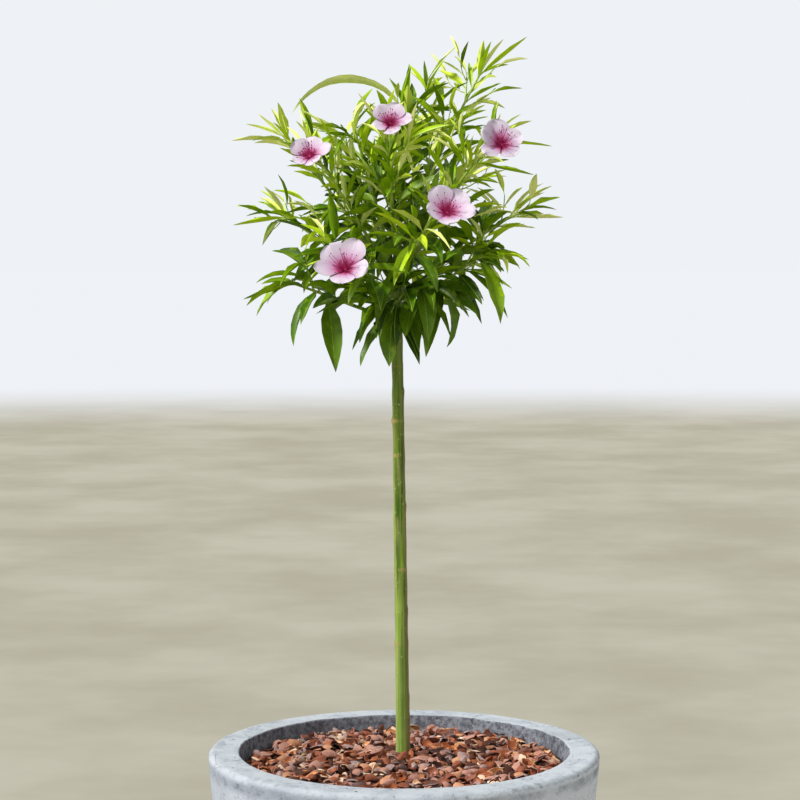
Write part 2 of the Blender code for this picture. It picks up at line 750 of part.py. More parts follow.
def keep_largest(obj):
    """Drops loose scraps and fills sealed hollows: only the largest connected skin stays."""
    bm = bmesh.new()
    bm.from_mesh(obj.data)
    left, groups = set(bm.verts), []
    while left:
        seed = left.pop()
        group, stack = {seed}, [seed]
        while stack:
            for edge in stack.pop().link_edges:
                for vert in edge.verts:
                    if vert in left:
                        left.remove(vert)
                        group.add(vert)
                        stack.append(vert)
        groups.append(group)
    groups.sort(key=len)
    scraps = [v for group in groups[:-1] for v in group]
    if scraps:
        bmesh.ops.delete(bm, geom=scraps, context="VERTS")
    bmesh.ops.triangulate(bm, faces=bm.faces)
    bm.to_mesh(obj.data)
    bm.free()


def main():
    clear_scene()
    tree = make_collection("potted_dwarf_peach")
    helpers = make_collection("cutters")
    concrete = make_material("concrete", (0.55, 0.57, 0.60), 0.9)
    mulch = make_material("mulch", (0.24, 0.11, 0.06), 0.9)
    bark = make_material("green_bark", (0.18, 0.30, 0.05), 0.55)
    foliage = make_material("foliage", (0.20, 0.34, 0.04), 0.5)

    make_planter(tree, concrete)
    make_filling(tree, mulch)
    trunk = make_trunk(tree, bark)

    ends = (TRUNK_HEAD - 0.03, TRUNK_HEAD, TRUNK_TOP + GAP)
    cutter = tube(
        "trunk_clearance",
        [trunk_axis(h) for h in ends],
        [trunk_radius(h) / math.cos(math.pi / 24) + GAP for h in ends],
        24,
        helpers,
        bark,
    )
    cutter.hide_render = True
    cutter.display_type = "WIRE"

    crown = Crown()
    crown.add_object("trunk", trunk)
    sprays = {}
    for name, row in SHOOTS.items():
        spine = Spine(row)
        start = 0.0
        if name not in BARE:
            bough, start = make_bough("bough_" + name, spine, tree, bark, cutter)
            crown.add_object("bough_" + name, bough)
        sprays[name] = Spray("foliage_" + name, spine, start, crown)
    for name, centre, *sizes in BLOSSOMS:
        sprays[name].blossom(Vector(centre), *sizes)
    for name, *sizes in MARKED_LEAVES:
        sprays[name].marked_leaf(*sizes)
    growing = [spray.grow(index) for index, spray in enumerate(sprays.values())]
    for _ in itertools.zip_longest(*growing):
        pass
    for spray in sprays.values():
        spray.fuse(tree, foliage, cutter)


main()
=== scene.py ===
import itertools
import random
from math import atan2, cos, dist, exp, hypot, pi, radians, sin, sqrt, tau

import bmesh
import bpy
import numpy as np
from mathutils import Matrix, Vector
from mathutils.bvhtree import BVHTree


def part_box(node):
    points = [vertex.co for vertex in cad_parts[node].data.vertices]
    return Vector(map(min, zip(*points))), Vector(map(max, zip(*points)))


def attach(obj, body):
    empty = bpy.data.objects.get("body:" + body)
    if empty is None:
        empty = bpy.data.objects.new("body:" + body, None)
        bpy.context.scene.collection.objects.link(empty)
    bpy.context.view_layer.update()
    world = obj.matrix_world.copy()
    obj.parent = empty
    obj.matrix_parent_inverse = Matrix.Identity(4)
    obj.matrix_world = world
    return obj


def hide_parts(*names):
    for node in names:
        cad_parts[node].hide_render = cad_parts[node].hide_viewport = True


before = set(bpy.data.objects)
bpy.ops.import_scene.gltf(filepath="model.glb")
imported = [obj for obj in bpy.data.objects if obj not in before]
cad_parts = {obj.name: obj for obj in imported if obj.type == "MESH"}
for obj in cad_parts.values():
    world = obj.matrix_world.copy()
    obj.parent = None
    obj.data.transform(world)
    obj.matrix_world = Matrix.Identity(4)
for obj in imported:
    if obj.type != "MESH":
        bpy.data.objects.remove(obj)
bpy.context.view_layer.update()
up = Vector((0, 0, 1))
gap = 0.0003


def tone(red, green, blue):  # a colour as it looks on a screen, made linear
    def linear(value):
        share = value / 255
        return share / 12.92 if share < 0.04 else ((share + 0.055) / 1.055) ** 2.4
    return (linear(red), linear(green), linear(blue), 1)


def between(ends, share):
    return ends[0] + (ends[1] - ends[0]) * share


def ramp(value, start, span):  # 0 up to start, 1 from a span further on
    return min(1, max(0, (value - start) / span))


def bell(offset, width):  # 1 in the middle, falling to nothing about two widths off
    return exp(-(offset / width) ** 2)


def leaning(first, second, angle):  # a direction turned from the first towards the second
    return first * cos(angle) + second * sin(angle)


def onCircle(radius, angle, height=0.0):
    return Vector((radius * cos(angle), radius * sin(angle), height))


class Wire:  # a socket; arithmetic on it adds Math nodes
    def __init__(self, finish, socket):
        self.finish = finish
        self.socket = socket

    def __add__(self, other):
        return self.finish.maths("ADD", self, other)

    def __radd__(self, other):
        return self.finish.maths("ADD", other, self)

    def __sub__(self, other):
        return self.finish.maths("SUBTRACT", self, other)

    def __rsub__(self, other):
        return self.finish.maths("SUBTRACT", other, self)

    def __mul__(self, other):
        return self.finish.maths("MULTIPLY", self, other)

    def __rmul__(self, other):
        return self.finish.maths("MULTIPLY", other, self)

    def __pow__(self, other):
        return self.finish.maths("POWER", self, other)


class Finish:  # one material
    def __init__(self, name, **fixed):
        self.material = bpy.data.materials.new(name)
        self.material.use_nodes = True
        self.tree = self.material.node_tree
        self.shader = self.tree.nodes["Principled BSDF"]
        for label, value in fixed.items():
            self.shader.inputs[label.replace("_", " ")].default_value = value

    def node(self, kind, settings=None, sockets=None, output=0):
        made = self.tree.nodes.new(kind)
        for key, value in (settings or {}).items():
            setattr(made, key, value)
        for key, value in (sockets or {}).items():
            if isinstance(value, Wire):
                self.tree.links.new(value.socket, made.inputs[key])
            else:
                made.inputs[key].default_value = value
        return Wire(self, made.outputs[output])

    def maths(self, operation, *values):
        sockets = dict(enumerate(values))
        return self.node("ShaderNodeMath", {"operation": operation}, sockets)

    def objectPlace(self):
        return self.node("ShaderNodeTexCoord", output=3)

    def axes(self, place):
        return [self.node("ShaderNodeSeparateXYZ", None, {0: place}, i) for i in range(3)]

    def stretched(self, place, scale):
        return self.node("ShaderNodeMapping", None, {0: place, 3: scale})

    def noise(self, place, scale, detail=4.0, roughness=0.55, distortion=0.0):
        sockets = {0: place, "Scale": scale, "Detail": detail, "Roughness": roughness}
        sockets["Distortion"] = distortion
        return self.node("ShaderNodeTexNoise", None, sockets)

    def cells(self, place, scale, feature="F1"):
        return self.node("ShaderNodeTexVoronoi", {"feature": feature}, {0: place, "Scale": scale})

    def step(self, value, low, high):  # 0 below low, 1 above high, smooth between
        settings = {"interpolation_type": "SMOOTHSTEP"}
        return self.node("ShaderNodeMapRange", settings, {0: value, 1: low, 2: high})

    def mix(self, share, first, second, blend="MIX"):
        settings = {"data_type": "RGBA", "blend_type": blend}
        return self.node("ShaderNodeMix", settings, {0: share, 6: first, 7: second}, 2)

    def coats(self, color, *layers):  # tones laid over a colour, each by its own mask
        for mask, *levels in layers:
            color = self.mix(mask, color, tone(*levels))
        return color

    def shade(self, color, amount):  # a colour made lighter or darker by a number
        grey = self.node("ShaderNodeCombineColor", None, {0: amount, 1: amount, 2: amount})
        return self.mix(1.0, color, grey, "MULTIPLY")

    def bump(self, height, distance):
        sockets = {"Height": height, "Distance": distance, "Strength": 1.0}
        return self.node("ShaderNodeBump", None, sockets)

    def wear(self, **links):  # joins wires to the shader's sockets
        for label, wire in links.items():
            self.tree.links.new(wire.socket, self.shader.inputs[label.replace("_", " ")])
        return self.material


def deselect():
    bpy.ops.object.select_all(action="DESELECT")


def linked(name, data):
    obj = bpy.data.objects.new(name, data)
    bpy.context.scene.collection.objects.link(obj)
    return obj


def newMesh(name, points, faces):
    mesh = bpy.data.meshes.new(name)
    mesh.from_pydata([tuple(p) for p in points], [], faces)
    mesh.update()
    return linked(name, mesh)


def turnFacesOut():  # in edit mode, which it leaves
    bpy.ops.mesh.select_all(action="SELECT")
    bpy.ops.mesh.normals_make_consistent(inside=False)
    bpy.ops.object.mode_set(mode="OBJECT")


def makeActive(obj):
    deselect()
    obj.select_set(True)
    bpy.context.view_layer.objects.active = obj


def smooth(obj, degrees=40):
    makeActive(obj)
    bpy.ops.object.shade_smooth_by_angle(angle=radians(degrees))


def applyAll(obj):
    makeActive(obj)
    for modifier in list(obj.modifiers):
        bpy.ops.object.modifier_apply(modifier=modifier.name)


def dress(obj, materials, nodes):  # ties a finished piece to the frame
    for material in materials:
        obj.data.materials.append(material)
    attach(obj, "root")
    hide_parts(*nodes)
    return obj


def turnedByRings(name, profile, sides):  # rings of (radius, height), from the inside floor round
    deselect()
    radius, height = profile[0]
    bpy.ops.mesh.primitive_circle_add(
        vertices=sides, radius=radius, fill_type="NGON", location=(0, 0, height)
    )
    obj = bpy.context.object
    obj.name = name
    bpy.ops.object.transform_apply(location=True, rotation=False, scale=False)
    bpy.ops.object.mode_set(mode="EDIT")
    for nextRadius, nextHeight in profile[1:]:
        bpy.ops.mesh.extrude_region_move(
            TRANSFORM_OT_translate={"value": (0, 0, nextHeight - height)}
        )
        size = nextRadius / radius
        bpy.ops.transform.resize(value=(size, size, 1), center_override=(0, 0, nextHeight))
        radius, height = nextRadius, nextHeight
    bpy.ops.mesh.select_non_manifold(extend=False)
    bpy.ops.mesh.edge_face_add()
    turnFacesOut()
    return obj


def arc(middle, radius, start, end, steps):  # angles in degrees from the radius axis
    turns = [radians(start + (end - start) * i / steps) for i in range(steps + 1)]
    return [(middle[0] + radius * cos(a), middle[1] + radius * sin(a)) for a in turns]


def roughen(obj, group, size, strength):  # cloudy unevenness along the normals
    texture = bpy.data.textures.new(obj.name + "Clouds", "CLOUDS")
    texture.noise_scale = size
    texture.noise_depth = 2
    modifier = obj.modifiers.new("Uneven", "DISPLACE")
    modifier.texture = texture
    modifier.strength = strength
    modifier.mid_level = 0.5
    modifier.vertex_group = group


potLow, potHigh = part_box("planter")
pot = dict(
    height=potHigh.z,
    rim=potHigh.x,  # outer radius at the rim
    rimWidth=0.031,
    rimRound=0.006,
    innerRound=0.002,
    collarHeight=0.108,
    collarTaper=0.0085,
    collarStep=0.009,
    foot=0.130,
    wall=0.023,
    floor=0.026,
    sides=224,
    ringStep=0.0045,  # height of one ring on the walls
    weatheredFrom=(0.004, 0.02),  # height and span over which the unevenness sets in
    unevenness=((0.060, 0.0012), (0.013, 0.0005), (0.0045, 0.00022)),
    pits=150,
    rimPits=0.34,  # share of them on the flat of the rim
    collarPits=0.52,  # and on the collar, the rest being on the body below it
    pitRadius=(0.0006, 0.0021),
    seed=11,
)


def innerRadius(height):  # the inner wall follows the outside one wall's thickness in
    top = pot["rim"] - pot["rimWidth"]
    share = (pot["height"] - height) / (pot["height"] - pot["floor"])
    return top + (pot["foot"] - pot["wall"] - top) * share


def ruled(start, end, step):  # points on a straight stretch of a profile, without its start
    count = max(1, round(dist(start, end) / step))
    return [
        (start[0] + (end[0] - start[0]) * i / count, start[1] + (end[1] - start[1]) * i / count)
        for i in range(1, count + 1)
    ]


def potProfile():
    collarFoot = pot["height"] - pot["collarHeight"]
    collar = pot["rim"] - pot["collarTaper"]
    inside = pot["rim"] - pot["rimWidth"]
    inner = pot["innerRound"]
    rim = arc((inside + inner, pot["height"] - inner), inner, 180, 90, 4)
    top = (pot["rim"] - pot["rimRound"], pot["height"])
    rim += ruled(rim[-1], top, 0.003)[:-1]
    rim += arc((top[0], top[1] - pot["rimRound"]), pot["rimRound"], 90, 0, 9)
    shoulder = (collar, collarFoot + 0.004)
    step = (collar - pot["collarStep"], collarFoot - 0.002)
    foot = (pot["foot"], 0.006)
    profile = [(innerRadius(pot["floor"]), pot["floor"])]
    profile += ruled(profile[-1], rim[0], 0.012)[:-1]
    profile += rim
    profile += ruled(rim[-1], shoulder, pot["ringStep"])
    profile += [(collar - 0.0012, collarFoot + 0.0012), (collar - 0.004, collarFoot)]
    profile += [step]
    profile += ruled(step, foot, pot["ringStep"] * 1.3)
    profile += [(pot["foot"] - 0.0015, 0.0015), (pot["foot"] - 0.005, 0)]
    return profile


def pitCutter():  # small round hollows, as air bubbles leave in cast concrete
    rng = random.Random(pot["seed"])
    points, faces = [], []
    ball = bmesh.new()
    bmesh.ops.create_icosphere(ball, subdivisions=2, radius=1)
    ball.verts.ensure_lookup_table()
    shape = [v.co.copy() for v in ball.verts]
    skin = [tuple(v.index for v in f.verts) for f in ball.faces]
    ball.free()
    places = []
    while len(places) < pot["pits"]:
        angle = rng.uniform(0, tau)
        radius = between(pot["pitRadius"], rng.random() ** 2.5)
        kind = rng.random()
        if kind < pot["rimPits"]:  # on the flat of the rim
            across = pot["rim"] - rng.uniform(0.008, pot["rimWidth"] - 0.004)
            height = pot["height"]
        elif kind < pot["rimPits"] + pot["collarPits"]:
            height = pot["height"] - rng.uniform(0.010, pot["collarHeight"] - 0.006)
            across = pot["rim"] - pot["collarTaper"] * (pot["height"] - height) / pot["collarHeight"]
        else:  # on the body below it
            height = rng.uniform(0.02, pot["height"] - pot["collarHeight"] - 0.01)
            top = pot["rim"] - pot["collarTaper"] - pot["collarStep"]
            across = between((pot["foot"], top), height / (pot["height"] - pot["collarHeight"]))
        place = onCircle(across, angle, height)
        if all((place - other).length > radius + size + 0.0015 for other, size in places):
            places.append((place, radius))
    for place, radius in places:
        stretch = Vector((rng.uniform(0.8, 1.5), rng.uniform(0.8, 1.5), rng.uniform(0.7, 1.2)))
        turn = Matrix.Rotation(rng.uniform(0, tau), 3, "Z")
        start = len(points)
        points += [place + turn @ Vector([p[i] * stretch[i] for i in range(3)]) * radius for p in shape]
        faces += [tuple(start + i for i in face) for face in skin]
    return newMesh("pitCutter", points, faces)


def concrete():
    finish = Finish("castConcrete", Specular_IOR_Level=0.25)
    place = finish.objectPlace()
    x, y, z = finish.axes(place)
    radius = (x * x + y * y) ** 0.5
    cloud = finish.noise(place, 11, 5, 0.6, 0.4)
    patch = finish.noise(place, 46, 6, 0.65, 0.2)
    grain = finish.noise(place, 520, 4, 0.75)
    speckle = finish.noise(place, 230, 6, 0.8)
    runs = finish.noise(finish.stretched(place, (34, 34, 4.5)), 1, 5, 0.6)
    bloom = finish.step(finish.noise(place, 24, 6, 0.7), 0.55, 0.75)
    soot = finish.step(speckle, 0.55, 0.68) * finish.step(patch, 0.38, 0.62)
    # a darker, patchy band just under the rim's edge
    below = pot["height"] - pot["rimRound"]
    ragged = z + (speckle - 0.5) * 0.012
    underRimBand = finish.step(ragged, below - 0.016, below - 0.005)
    underRimBand = underRimBand * (1 - finish.step(ragged, below - 0.003, below + 0.001))
    underRimBand = underRimBand * finish.step(cloud + patch * 0.6, 0.55, 0.95)
    # the rim's flat is pale and chalky; its wall inside is painted darker, as shade inside the pot, and
    # mottled
    top = finish.step(ragged, below + 0.0005, below + 0.0035)
    chalk = finish.mix(finish.step(patch, 0.42, 0.66), tone(190, 197, 203), tone(172, 180, 189))
    chalk = finish.coats(chalk, (finish.step(speckle, 0.56, 0.70) * 0.45, 150, 160, 172))
    lip = pot["rim"] - pot["rimWidth"]
    worn = radius + (patch - 0.5) * 0.006 + (speckle - 0.5) * 0.003
    inside = (1 - finish.step(worn, lip + 0.0006, lip + 0.0016)) * finish.step(z, 0.330, 0.332)
    mottle = finish.step(finish.noise(place, 150, 5, 0.75), 0.36, 0.62)
    # painted shade: the inner wall's tones are darker than the outside's, for the shade inside the pot
    shadedWall = finish.mix(mottle, tone(90, 92, 101), tone(144, 148, 157))
    shadedWall = finish.coats(shadedWall, (finish.step(speckle, 0.50, 0.64) * 0.6, 74, 76, 86))
    # pinholes and a few hairlines
    holes = 1 - finish.step(finish.cells(place, 210), 0.05, 0.13)
    holes = holes * finish.step(finish.noise(place, 30, 2), 0.48, 0.58)
    bent = finish.stretched(place, (13, 13, 5))
    line = 1 - finish.step(finish.cells(bent, 1, "DISTANCE_TO_EDGE"), 0.001, 0.006)
    line = line * finish.step(finish.noise(place, 9, 2), 0.52, 0.64)
    color = finish.coats(
        finish.mix(finish.step(cloud, 0.36, 0.66), tone(164, 172, 184), tone(192, 199, 209)),
        (finish.step(patch, 0.48, 0.70) * 0.55, 144, 151, 164),
        (finish.step(runs, 0.56, 0.80) * 0.4, 136, 141, 152),
        (bloom * 0.5, 214, 219, 226),
        # painted light: the pot's right side, away from the sun and in shade, is lightened towards a
        # near-white tone
        (finish.step(x + cloud * 0.04, 0.03, 0.16), 232, 238, 248),
        (soot * 0.72, 106, 113, 128),
        (underRimBand * 0.6, 108, 116, 130),
    )
    color = finish.mix(inside, finish.mix(top * 0.9, color, chalk), shadedWall)
    color = finish.coats(color, (holes * 0.8, 84, 90, 100), (line * 0.4, 128, 104, 104))
    return finish.wear(
        Base_Color=finish.shade(color, 0.89 + grain * 0.30),
        Roughness=0.80 + patch * 0.25,
        Normal=finish.bump(grain * 0.8 + patch * 0.8 - holes * 0.8 - soot * 0.5 - line * 0.25, 0.0013),
    )


def makePlanter():
    obj = turnedByRings("concretePlanter", potProfile(), pot["sides"])
    weathered = obj.vertex_groups.new(name="weathered")
    for vertex in obj.data.vertices:
        weathered.add([vertex.index], ramp(vertex.co.z, *pot["weatheredFrom"]), "REPLACE")
    for size, strength in pot["unevenness"]:
        roughen(obj, "weathered", size, strength)
    applyAll(obj)
    cutter = pitCutter()
    cut = obj.modifiers.new("Pits", "BOOLEAN")
    cut.operation = "DIFFERENCE"
    cut.solver = "MANIFOLD"
    cut.object = cutter
    applyAll(obj)
    bpy.data.objects.remove(cutter, do_unlink=True)
    obj.vertex_groups.clear()
    obj.data.materials.clear()
    smooth(obj, 50)
    print("planter", len(obj.data.polygons), "faces")
    return dress(obj, [concrete()], ["planter"])


mulch = dict(
    drop=0.013,  # below the rim, at the wall
    mound=0.007,
    foot=0.374,  # height at the stem
    bedRings=22,
    bedSides=120,
    sunk=0.004,  # depth of the bed below the shells' foot
    shells=1400,
    crumbs=650,
    beans=110,  # shells that are still whole
    length=(0.0120, 0.0225),
    depth=(0.22, 0.46),  # of a shell's length
    thickness=0.00065,
    pile=0.0066,  # depth of the loose top layer
    rings=3,
    sectors=9,
    beanTints=("rose", "mauve", "rust", "rose"),
    seed=7,
)
# outside and inside of a shell, and its share of all the shells
shellTints = {
    "rust": (tone(142, 82, 58), tone(164, 90, 50), 0.22),
    "amber": (tone(200, 144, 110), tone(220, 150, 94), 0.13),
    "rose": (tone(182, 134, 118), tone(146, 84, 60), 0.22),
    "dark": (tone(78, 46, 36), tone(58, 28, 18), 0.22),
    "mauve": (tone(164, 138, 134), tone(110, 74, 62), 0.10),
    "straw": (tone(234, 204, 176), tone(222, 174, 132), 0.070),
    "olive": (tone(180, 156, 104), tone(168, 132, 78), 0.005),
}


def bedHeight(x, y):
    share = min(1, hypot(x, y) / innerRadius(pot["height"] - mulch["drop"]))
    return mulch["foot"] - mulch["mound"] * share**1.6


def shellMaterial(name, color, glossy):
    finish = Finish("shell" + name, Specular_IOR_Level=0.35 if glossy else 0.2)
    place = finish.objectPlace()
    blotch = finish.noise(place, 160, 4, 0.6)
    fibre = finish.noise(finish.stretched(place, (900, 300, 600)), 1, 3, 0.6)
    x, y, z = finish.axes(place)
    # painted light and shade: the factor (1 + x * 0.9) darkens the shells towards the left, as the pot
    # wall's shadow, and lightens them towards the right
    tinted = finish.shade(color, (0.32 + blotch * 1.04 + fibre * 0.16) * (1 + x * 0.9))
    return finish.wear(
        Base_Color=tinted,
        Roughness=(0.38 if glossy else 0.68) + blotch * 0.2,
        Normal=finish.bump(fibre, 0.0002),
    )


def shellShape(rng, size):  # a broken piece of a hollow bean, thin, with a ragged edge
    long = between(mulch["length"], rng.random()) * size
    wide, depth = long * rng.uniform(0.52, 0.80), long * between(mulch["depth"], rng.random())
    opening, twist = rng.uniform(0.95, 1.45), rng.uniform(-0.25, 0.25)
    edges = [opening * rng.uniform(0.62, 1.15) for _ in range(mulch["sectors"])]
    curl = rng.uniform(-0.4, 0.9)
    outer, inner = [], []
    for row in range(mulch["rings"] + 1):
        share = row / mulch["rings"]
        for i in range(mulch["sectors"] if row else 1):
            down, turn = edges[i] * share, tau * i / mulch["sectors"]
            ahead, aside = sin(down) * cos(turn), sin(down) * sin(turn)
            normal = Vector((ahead / long, aside / wide, cos(down) / (2 * depth))).normalized()
            place = Vector((ahead * long / 2, aside * wide / 2, (cos(down) - 1) * depth))
            place.y *= 1 - 0.45 * (2 * place.x / long) ** 2
            place.z += twist * place.x * place.y / wide + curl * place.x * place.x / long
            outer.append(place + normal * mulch["thickness"] * 0.5)
            inner.append(place - normal * mulch["thickness"] * 0.5)
    return outer, inner


def shellFaces():
    rings, sectors = mulch["rings"], mulch["sectors"]
    count = 1 + rings * sectors
    faces, marks = [], []
    for i in range(sectors):
        j = (i + 1) % sectors
        faces += [(0, 1 + i, 1 + j), (count, count + 1 + j, count + 1 + i)]
        marks += [0, 1]
        for row in range(rings - 1):
            a, b = 1 + row * sectors, 1 + (row + 1) * sectors
            quad = (a + i, b + i, b + j, a + j)
            faces += [quad, tuple(count + k for k in reversed(quad))]
            marks += [0, 1]
        last = 1 + (rings - 1) * sectors
        faces.append((last + j, last + i, count + last + i, count + last + j))
        marks.append(0)
    return faces, marks


def beanShape(rng):  # a whole shell: a long rounded nut with a blunt ridge
    long = between(mulch["length"], rng.random()) * 0.80
    wide, high = long * rng.uniform(0.52, 0.66), long * rng.uniform(0.40, 0.52)
    rows, sides = 7, 9
    rings = []
    for row in range(rows):
        along = cos(pi * (row + 0.6) / (rows + 0.2))
        full = sqrt(1 - along * along) * (1 + 0.10 * along)
        angles = [tau * i / sides for i in range(sides)]
        rings.append([
            Vector((along * long / 2, cos(a) * wide / 2 * full,
                    sin(a) * high / 2 * full * (1.12 if i == 2 else 1)))
            for i, a in enumerate(angles)
        ])
    return loft(rings)


class Heap:  # closed skins gathered into one piece
    def __init__(self):
        self.points, self.faces, self.marks, self.spots = [], [], [], []

    def add(self, points, faces, marks=None, spots=None):
        start = len(self.points)
        self.points += points
        self.faces += [tuple(start + i for i in face) for face in faces]
        self.marks += marks or [0] * len(faces)
        self.spots += spots or []

    def piece(self, name, degrees=55):
        obj = newMesh(name, self.points, self.faces)
        obj.data.polygons.foreach_set("material_index", self.marks)
        if self.spots:
            corners = np.empty(len(obj.data.loops), np.int32)
            obj.data.loops.foreach_get("vertex_index", corners)
            layer = obj.data.uv_layers.new(name="along")
            layer.data.foreach_set("uv", np.array(self.spots, np.float32)[corners].ravel())
        smooth(obj, degrees)
        return obj


def makeMulch():
    rng = random.Random(mulch["seed"])
    edge = innerRadius(pot["height"] - mulch["drop"])
    sunk = mulch["sunk"]
    profile = [(innerRadius(pot["floor"]) - gap, pot["floor"] + gap)]
    profile += [(edge - gap, bedHeight(edge, 0) - sunk)]
    for i in range(1, mulch["bedRings"]):
        radius = edge * (1 - i / mulch["bedRings"])
        profile.append((radius + sunk, bedHeight(radius, 0) - sunk))
    bed = turnedByRings("mulchBed", profile, mulch["bedSides"])
    group = bed.vertex_groups.new(name="top")
    top = [v.index for v in bed.data.vertices if v.co.z > mulch["foot"] - 0.02]
    group.add(top, 1.0, "REPLACE")
    roughen(bed, "top", 0.012, 0.004)
    applyAll(bed)
    smooth(bed, 60)
    soil = Finish("darkCompost", Roughness=0.95)
    crumb = soil.noise(soil.objectPlace(), 300, 5, 0.7)
    color = soil.mix(crumb, tone(38, 22, 16), tone(96, 62, 46))
    bed.data.materials.clear()
    dress(bed, [soil.wear(Base_Color=color, Normal=soil.bump(crumb, 0.001))], ["filling"])
    faces, marks = shellFaces()
    heaps = {name: Heap() for name in shellTints}
    names = list(shellTints)
    shares = [shellTints[name][2] for name in names]
    for i in range(mulch["shells"] + mulch["beans"] + mulch["crumbs"]):
        kind = "shell" if i < mulch["shells"] else "bean"
        if i >= mulch["shells"] + mulch["beans"]:
            kind = "crumb"
        if kind == "bean":
            skin, skinFaces = beanShape(rng)
            skinMarks, name = None, rng.choice(mulch["beanTints"])
        else:
            outer, inner = shellShape(rng, 1.0 if kind == "shell" else rng.uniform(0.28, 0.5))
            skin, skinFaces, skinMarks = outer + inner, faces, marks
            name = rng.choices(names, shares)[0]
        middle = sum(skin, Vector()) / len(skin)
        reach = max((p - middle).length for p in skin)
        away = max((edge - reach * 0.85 - 0.001) * sqrt(rng.random()), 0.010)
        angle = rng.uniform(0, tau)
        place = onCircle(away, angle)
        lift = rng.random()
        over = pi if rng.random() < 0.42 else 0
        turn = Matrix.Rotation(rng.uniform(0, tau), 3, "Z")
        turn = turn @ Matrix.Rotation(rng.gauss(0, 0.30 + 0.28 * lift) + over, 3, "X")
        turn = turn @ Matrix.Rotation(rng.gauss(0, 0.34), 3, "Y")
        place.z = bedHeight(place.x, place.y) - 0.0050 + lift * mulch["pile"]
        heaps[name].add([place + turn @ (p - middle) for p in skin], skinFaces, skinMarks)
    for name, heap in heaps.items():
        obj = heap.piece("shells_" + name, 40)
        sides = zip(("Outside", "Inside"), shellTints[name], (False, True))
        finishes = [shellMaterial(name + side, color, glossy) for side, color, glossy in sides]
        dress(obj, finishes, ["filling"])
    print("mulch", sum(len(heap.faces) for heap in heaps.values()), "faces")


stem = dict(
    foot=0.374,
    head=0.812,  # above it runs the thin leader
    top=0.872,
    radius=(0.0070, 0.0054),
    leader=0.0028,
    lean=(-0.0008, -0.0080),
    flare=0.0012,
    flareHeight=0.020,
    sides=44,
    cuts=400,
    swell=0.0007,  # at each leaf joint
    scar=0.0011,  # how far a leaf scar's lip stands out
    ridge=0.00032,  # the ridges that run down from a joint
    jointReach=0.012,  # how far above and below a joint its swelling goes
    ridgeLength=0.052,
    ridgeTurn=0.62,  # from the bud to the ridge on either side of it
)
# leaf joints: height and bearing of the bud
joints = (
    (0.412, 330), (0.434, 40), (0.4885, 205), (0.520, 335), (0.5625, 300), (0.590, 95),
    (0.6135, 215), (0.6225, 350), (0.6735, 235), (0.7095, 190), (0.7365, 345), (0.764, 120),
    (0.789, 250),
)


def stemAxis(height):
    share = (height - stem["foot"]) / (stem["top"] - stem["foot"])
    return Vector((between(stem["lean"], share), 0, height))


def stemRadius(height):
    if height > stem["head"]:
        share = (height - stem["head"]) / (stem["top"] - stem["head"])
        return between((stem["radius"][1], stem["leader"]), share)
    flare = stem["flare"] * max(0, 1 - (height - stem["foot"]) / stem["flareHeight"]) ** 2
    return between(stem["radius"], (height - stem["foot"]) / (stem["head"] - stem["foot"])) + flare


def rodByCuts(name, sides, cuts):  # a unit cylinder along +Z, cut into rings
    deselect()
    bpy.ops.mesh.primitive_cylinder_add(
        vertices=sides, radius=1, depth=1, location=(0, 0, 0.5), end_fill_type="NGON"
    )
    obj = bpy.context.object
    obj.name = name
    bpy.ops.object.transform_apply(location=True, rotation=False, scale=False)
    bpy.ops.object.mode_set(mode="EDIT")
    bpy.ops.mesh.select_all(action="DESELECT")
    bpy.ops.mesh.select_mode(type="EDGE")
    cage = bmesh.from_edit_mesh(obj.data)
    for edge in cage.edges:
        low, high = sorted(v.co.z for v in edge.verts)
        edge.select_set(high - low > 0.5)
    bmesh.update_edit_mesh(obj.data)
    bpy.ops.mesh.subdivide(number_cuts=cuts)
    bpy.ops.mesh.select_mode(type="VERT")
    bpy.ops.object.mode_set(mode="OBJECT")
    return obj


def nearAngle(angle, bearing):  # smallest turn between two bearings
    return (angle - bearing + pi) % tau - pi


def makeStem():
    obj = rodByCuts("greenStem", stem["sides"], stem["cuts"])
    rng = random.Random("stem")
    waves = [(rng.uniform(60, 240), rng.randint(1, 4), rng.uniform(0, tau)) for _ in range(8)]
    scars, ridges = [], []
    for vertex in obj.data.vertices:
        share = vertex.co.z
        height = between((stem["foot"], stem["top"]), share)
        angle = atan2(vertex.co.y, vertex.co.x)
        relief = sum(sin(f * height + n * angle + p) for f, n, p in waves) * 0.00005
        scar = ridge = 0.0
        slim = stemRadius(height) / stem["radius"][0]
        for jointHeight, bearing in joints:
            turn = nearAngle(angle, radians(bearing))
            above = height - jointHeight
            if abs(above) < stem["jointReach"]:
                facing = 0.4 + 0.6 * max(0, cos(turn)) ** 2
                relief += stem["swell"] * bell(above + 0.001, 0.0034) * facing * slim
                lip = bell(above + 0.0002, 0.0011) * bell(turn, 0.42)
                bud = bell(above - 0.0026, 0.0017) * bell(turn, 0.26)
                relief += stem["scar"] * slim * max(lip, 0.9 * bud)
                scar = max(scar, lip, 0.86 * bell(above, 0.0016) * facing)
            if -stem["ridgeLength"] < above < 0:
                fade = (1 + above / stem["ridgeLength"]) * min(1, -above / 0.004)
                for side in (-stem["ridgeTurn"], stem["ridgeTurn"]):
                    line = bell(nearAngle(turn, side * (1 - above * 6)), 0.17) * fade
                    relief += stem["ridge"] * line
                    ridge = max(ridge, line)
        scars.append(scar)
        ridges.append(ridge)
        radius = stemRadius(height) + relief
        if hypot(vertex.co.x, vertex.co.y) < 0.5:
            radius = 0
        vertex.co = stemAxis(height) + onCircle(1, angle) * radius
    for name, values in (("scar", scars), ("ridge", ridges)):
        layer = obj.data.attributes.new(name, "FLOAT", "POINT")
        layer.data.foreach_set("value", values)
    smooth(obj, 70)
    print("stem", len(obj.data.polygons), "faces")
    return dress(obj, [bark("stemBark", True)], ["trunk"])


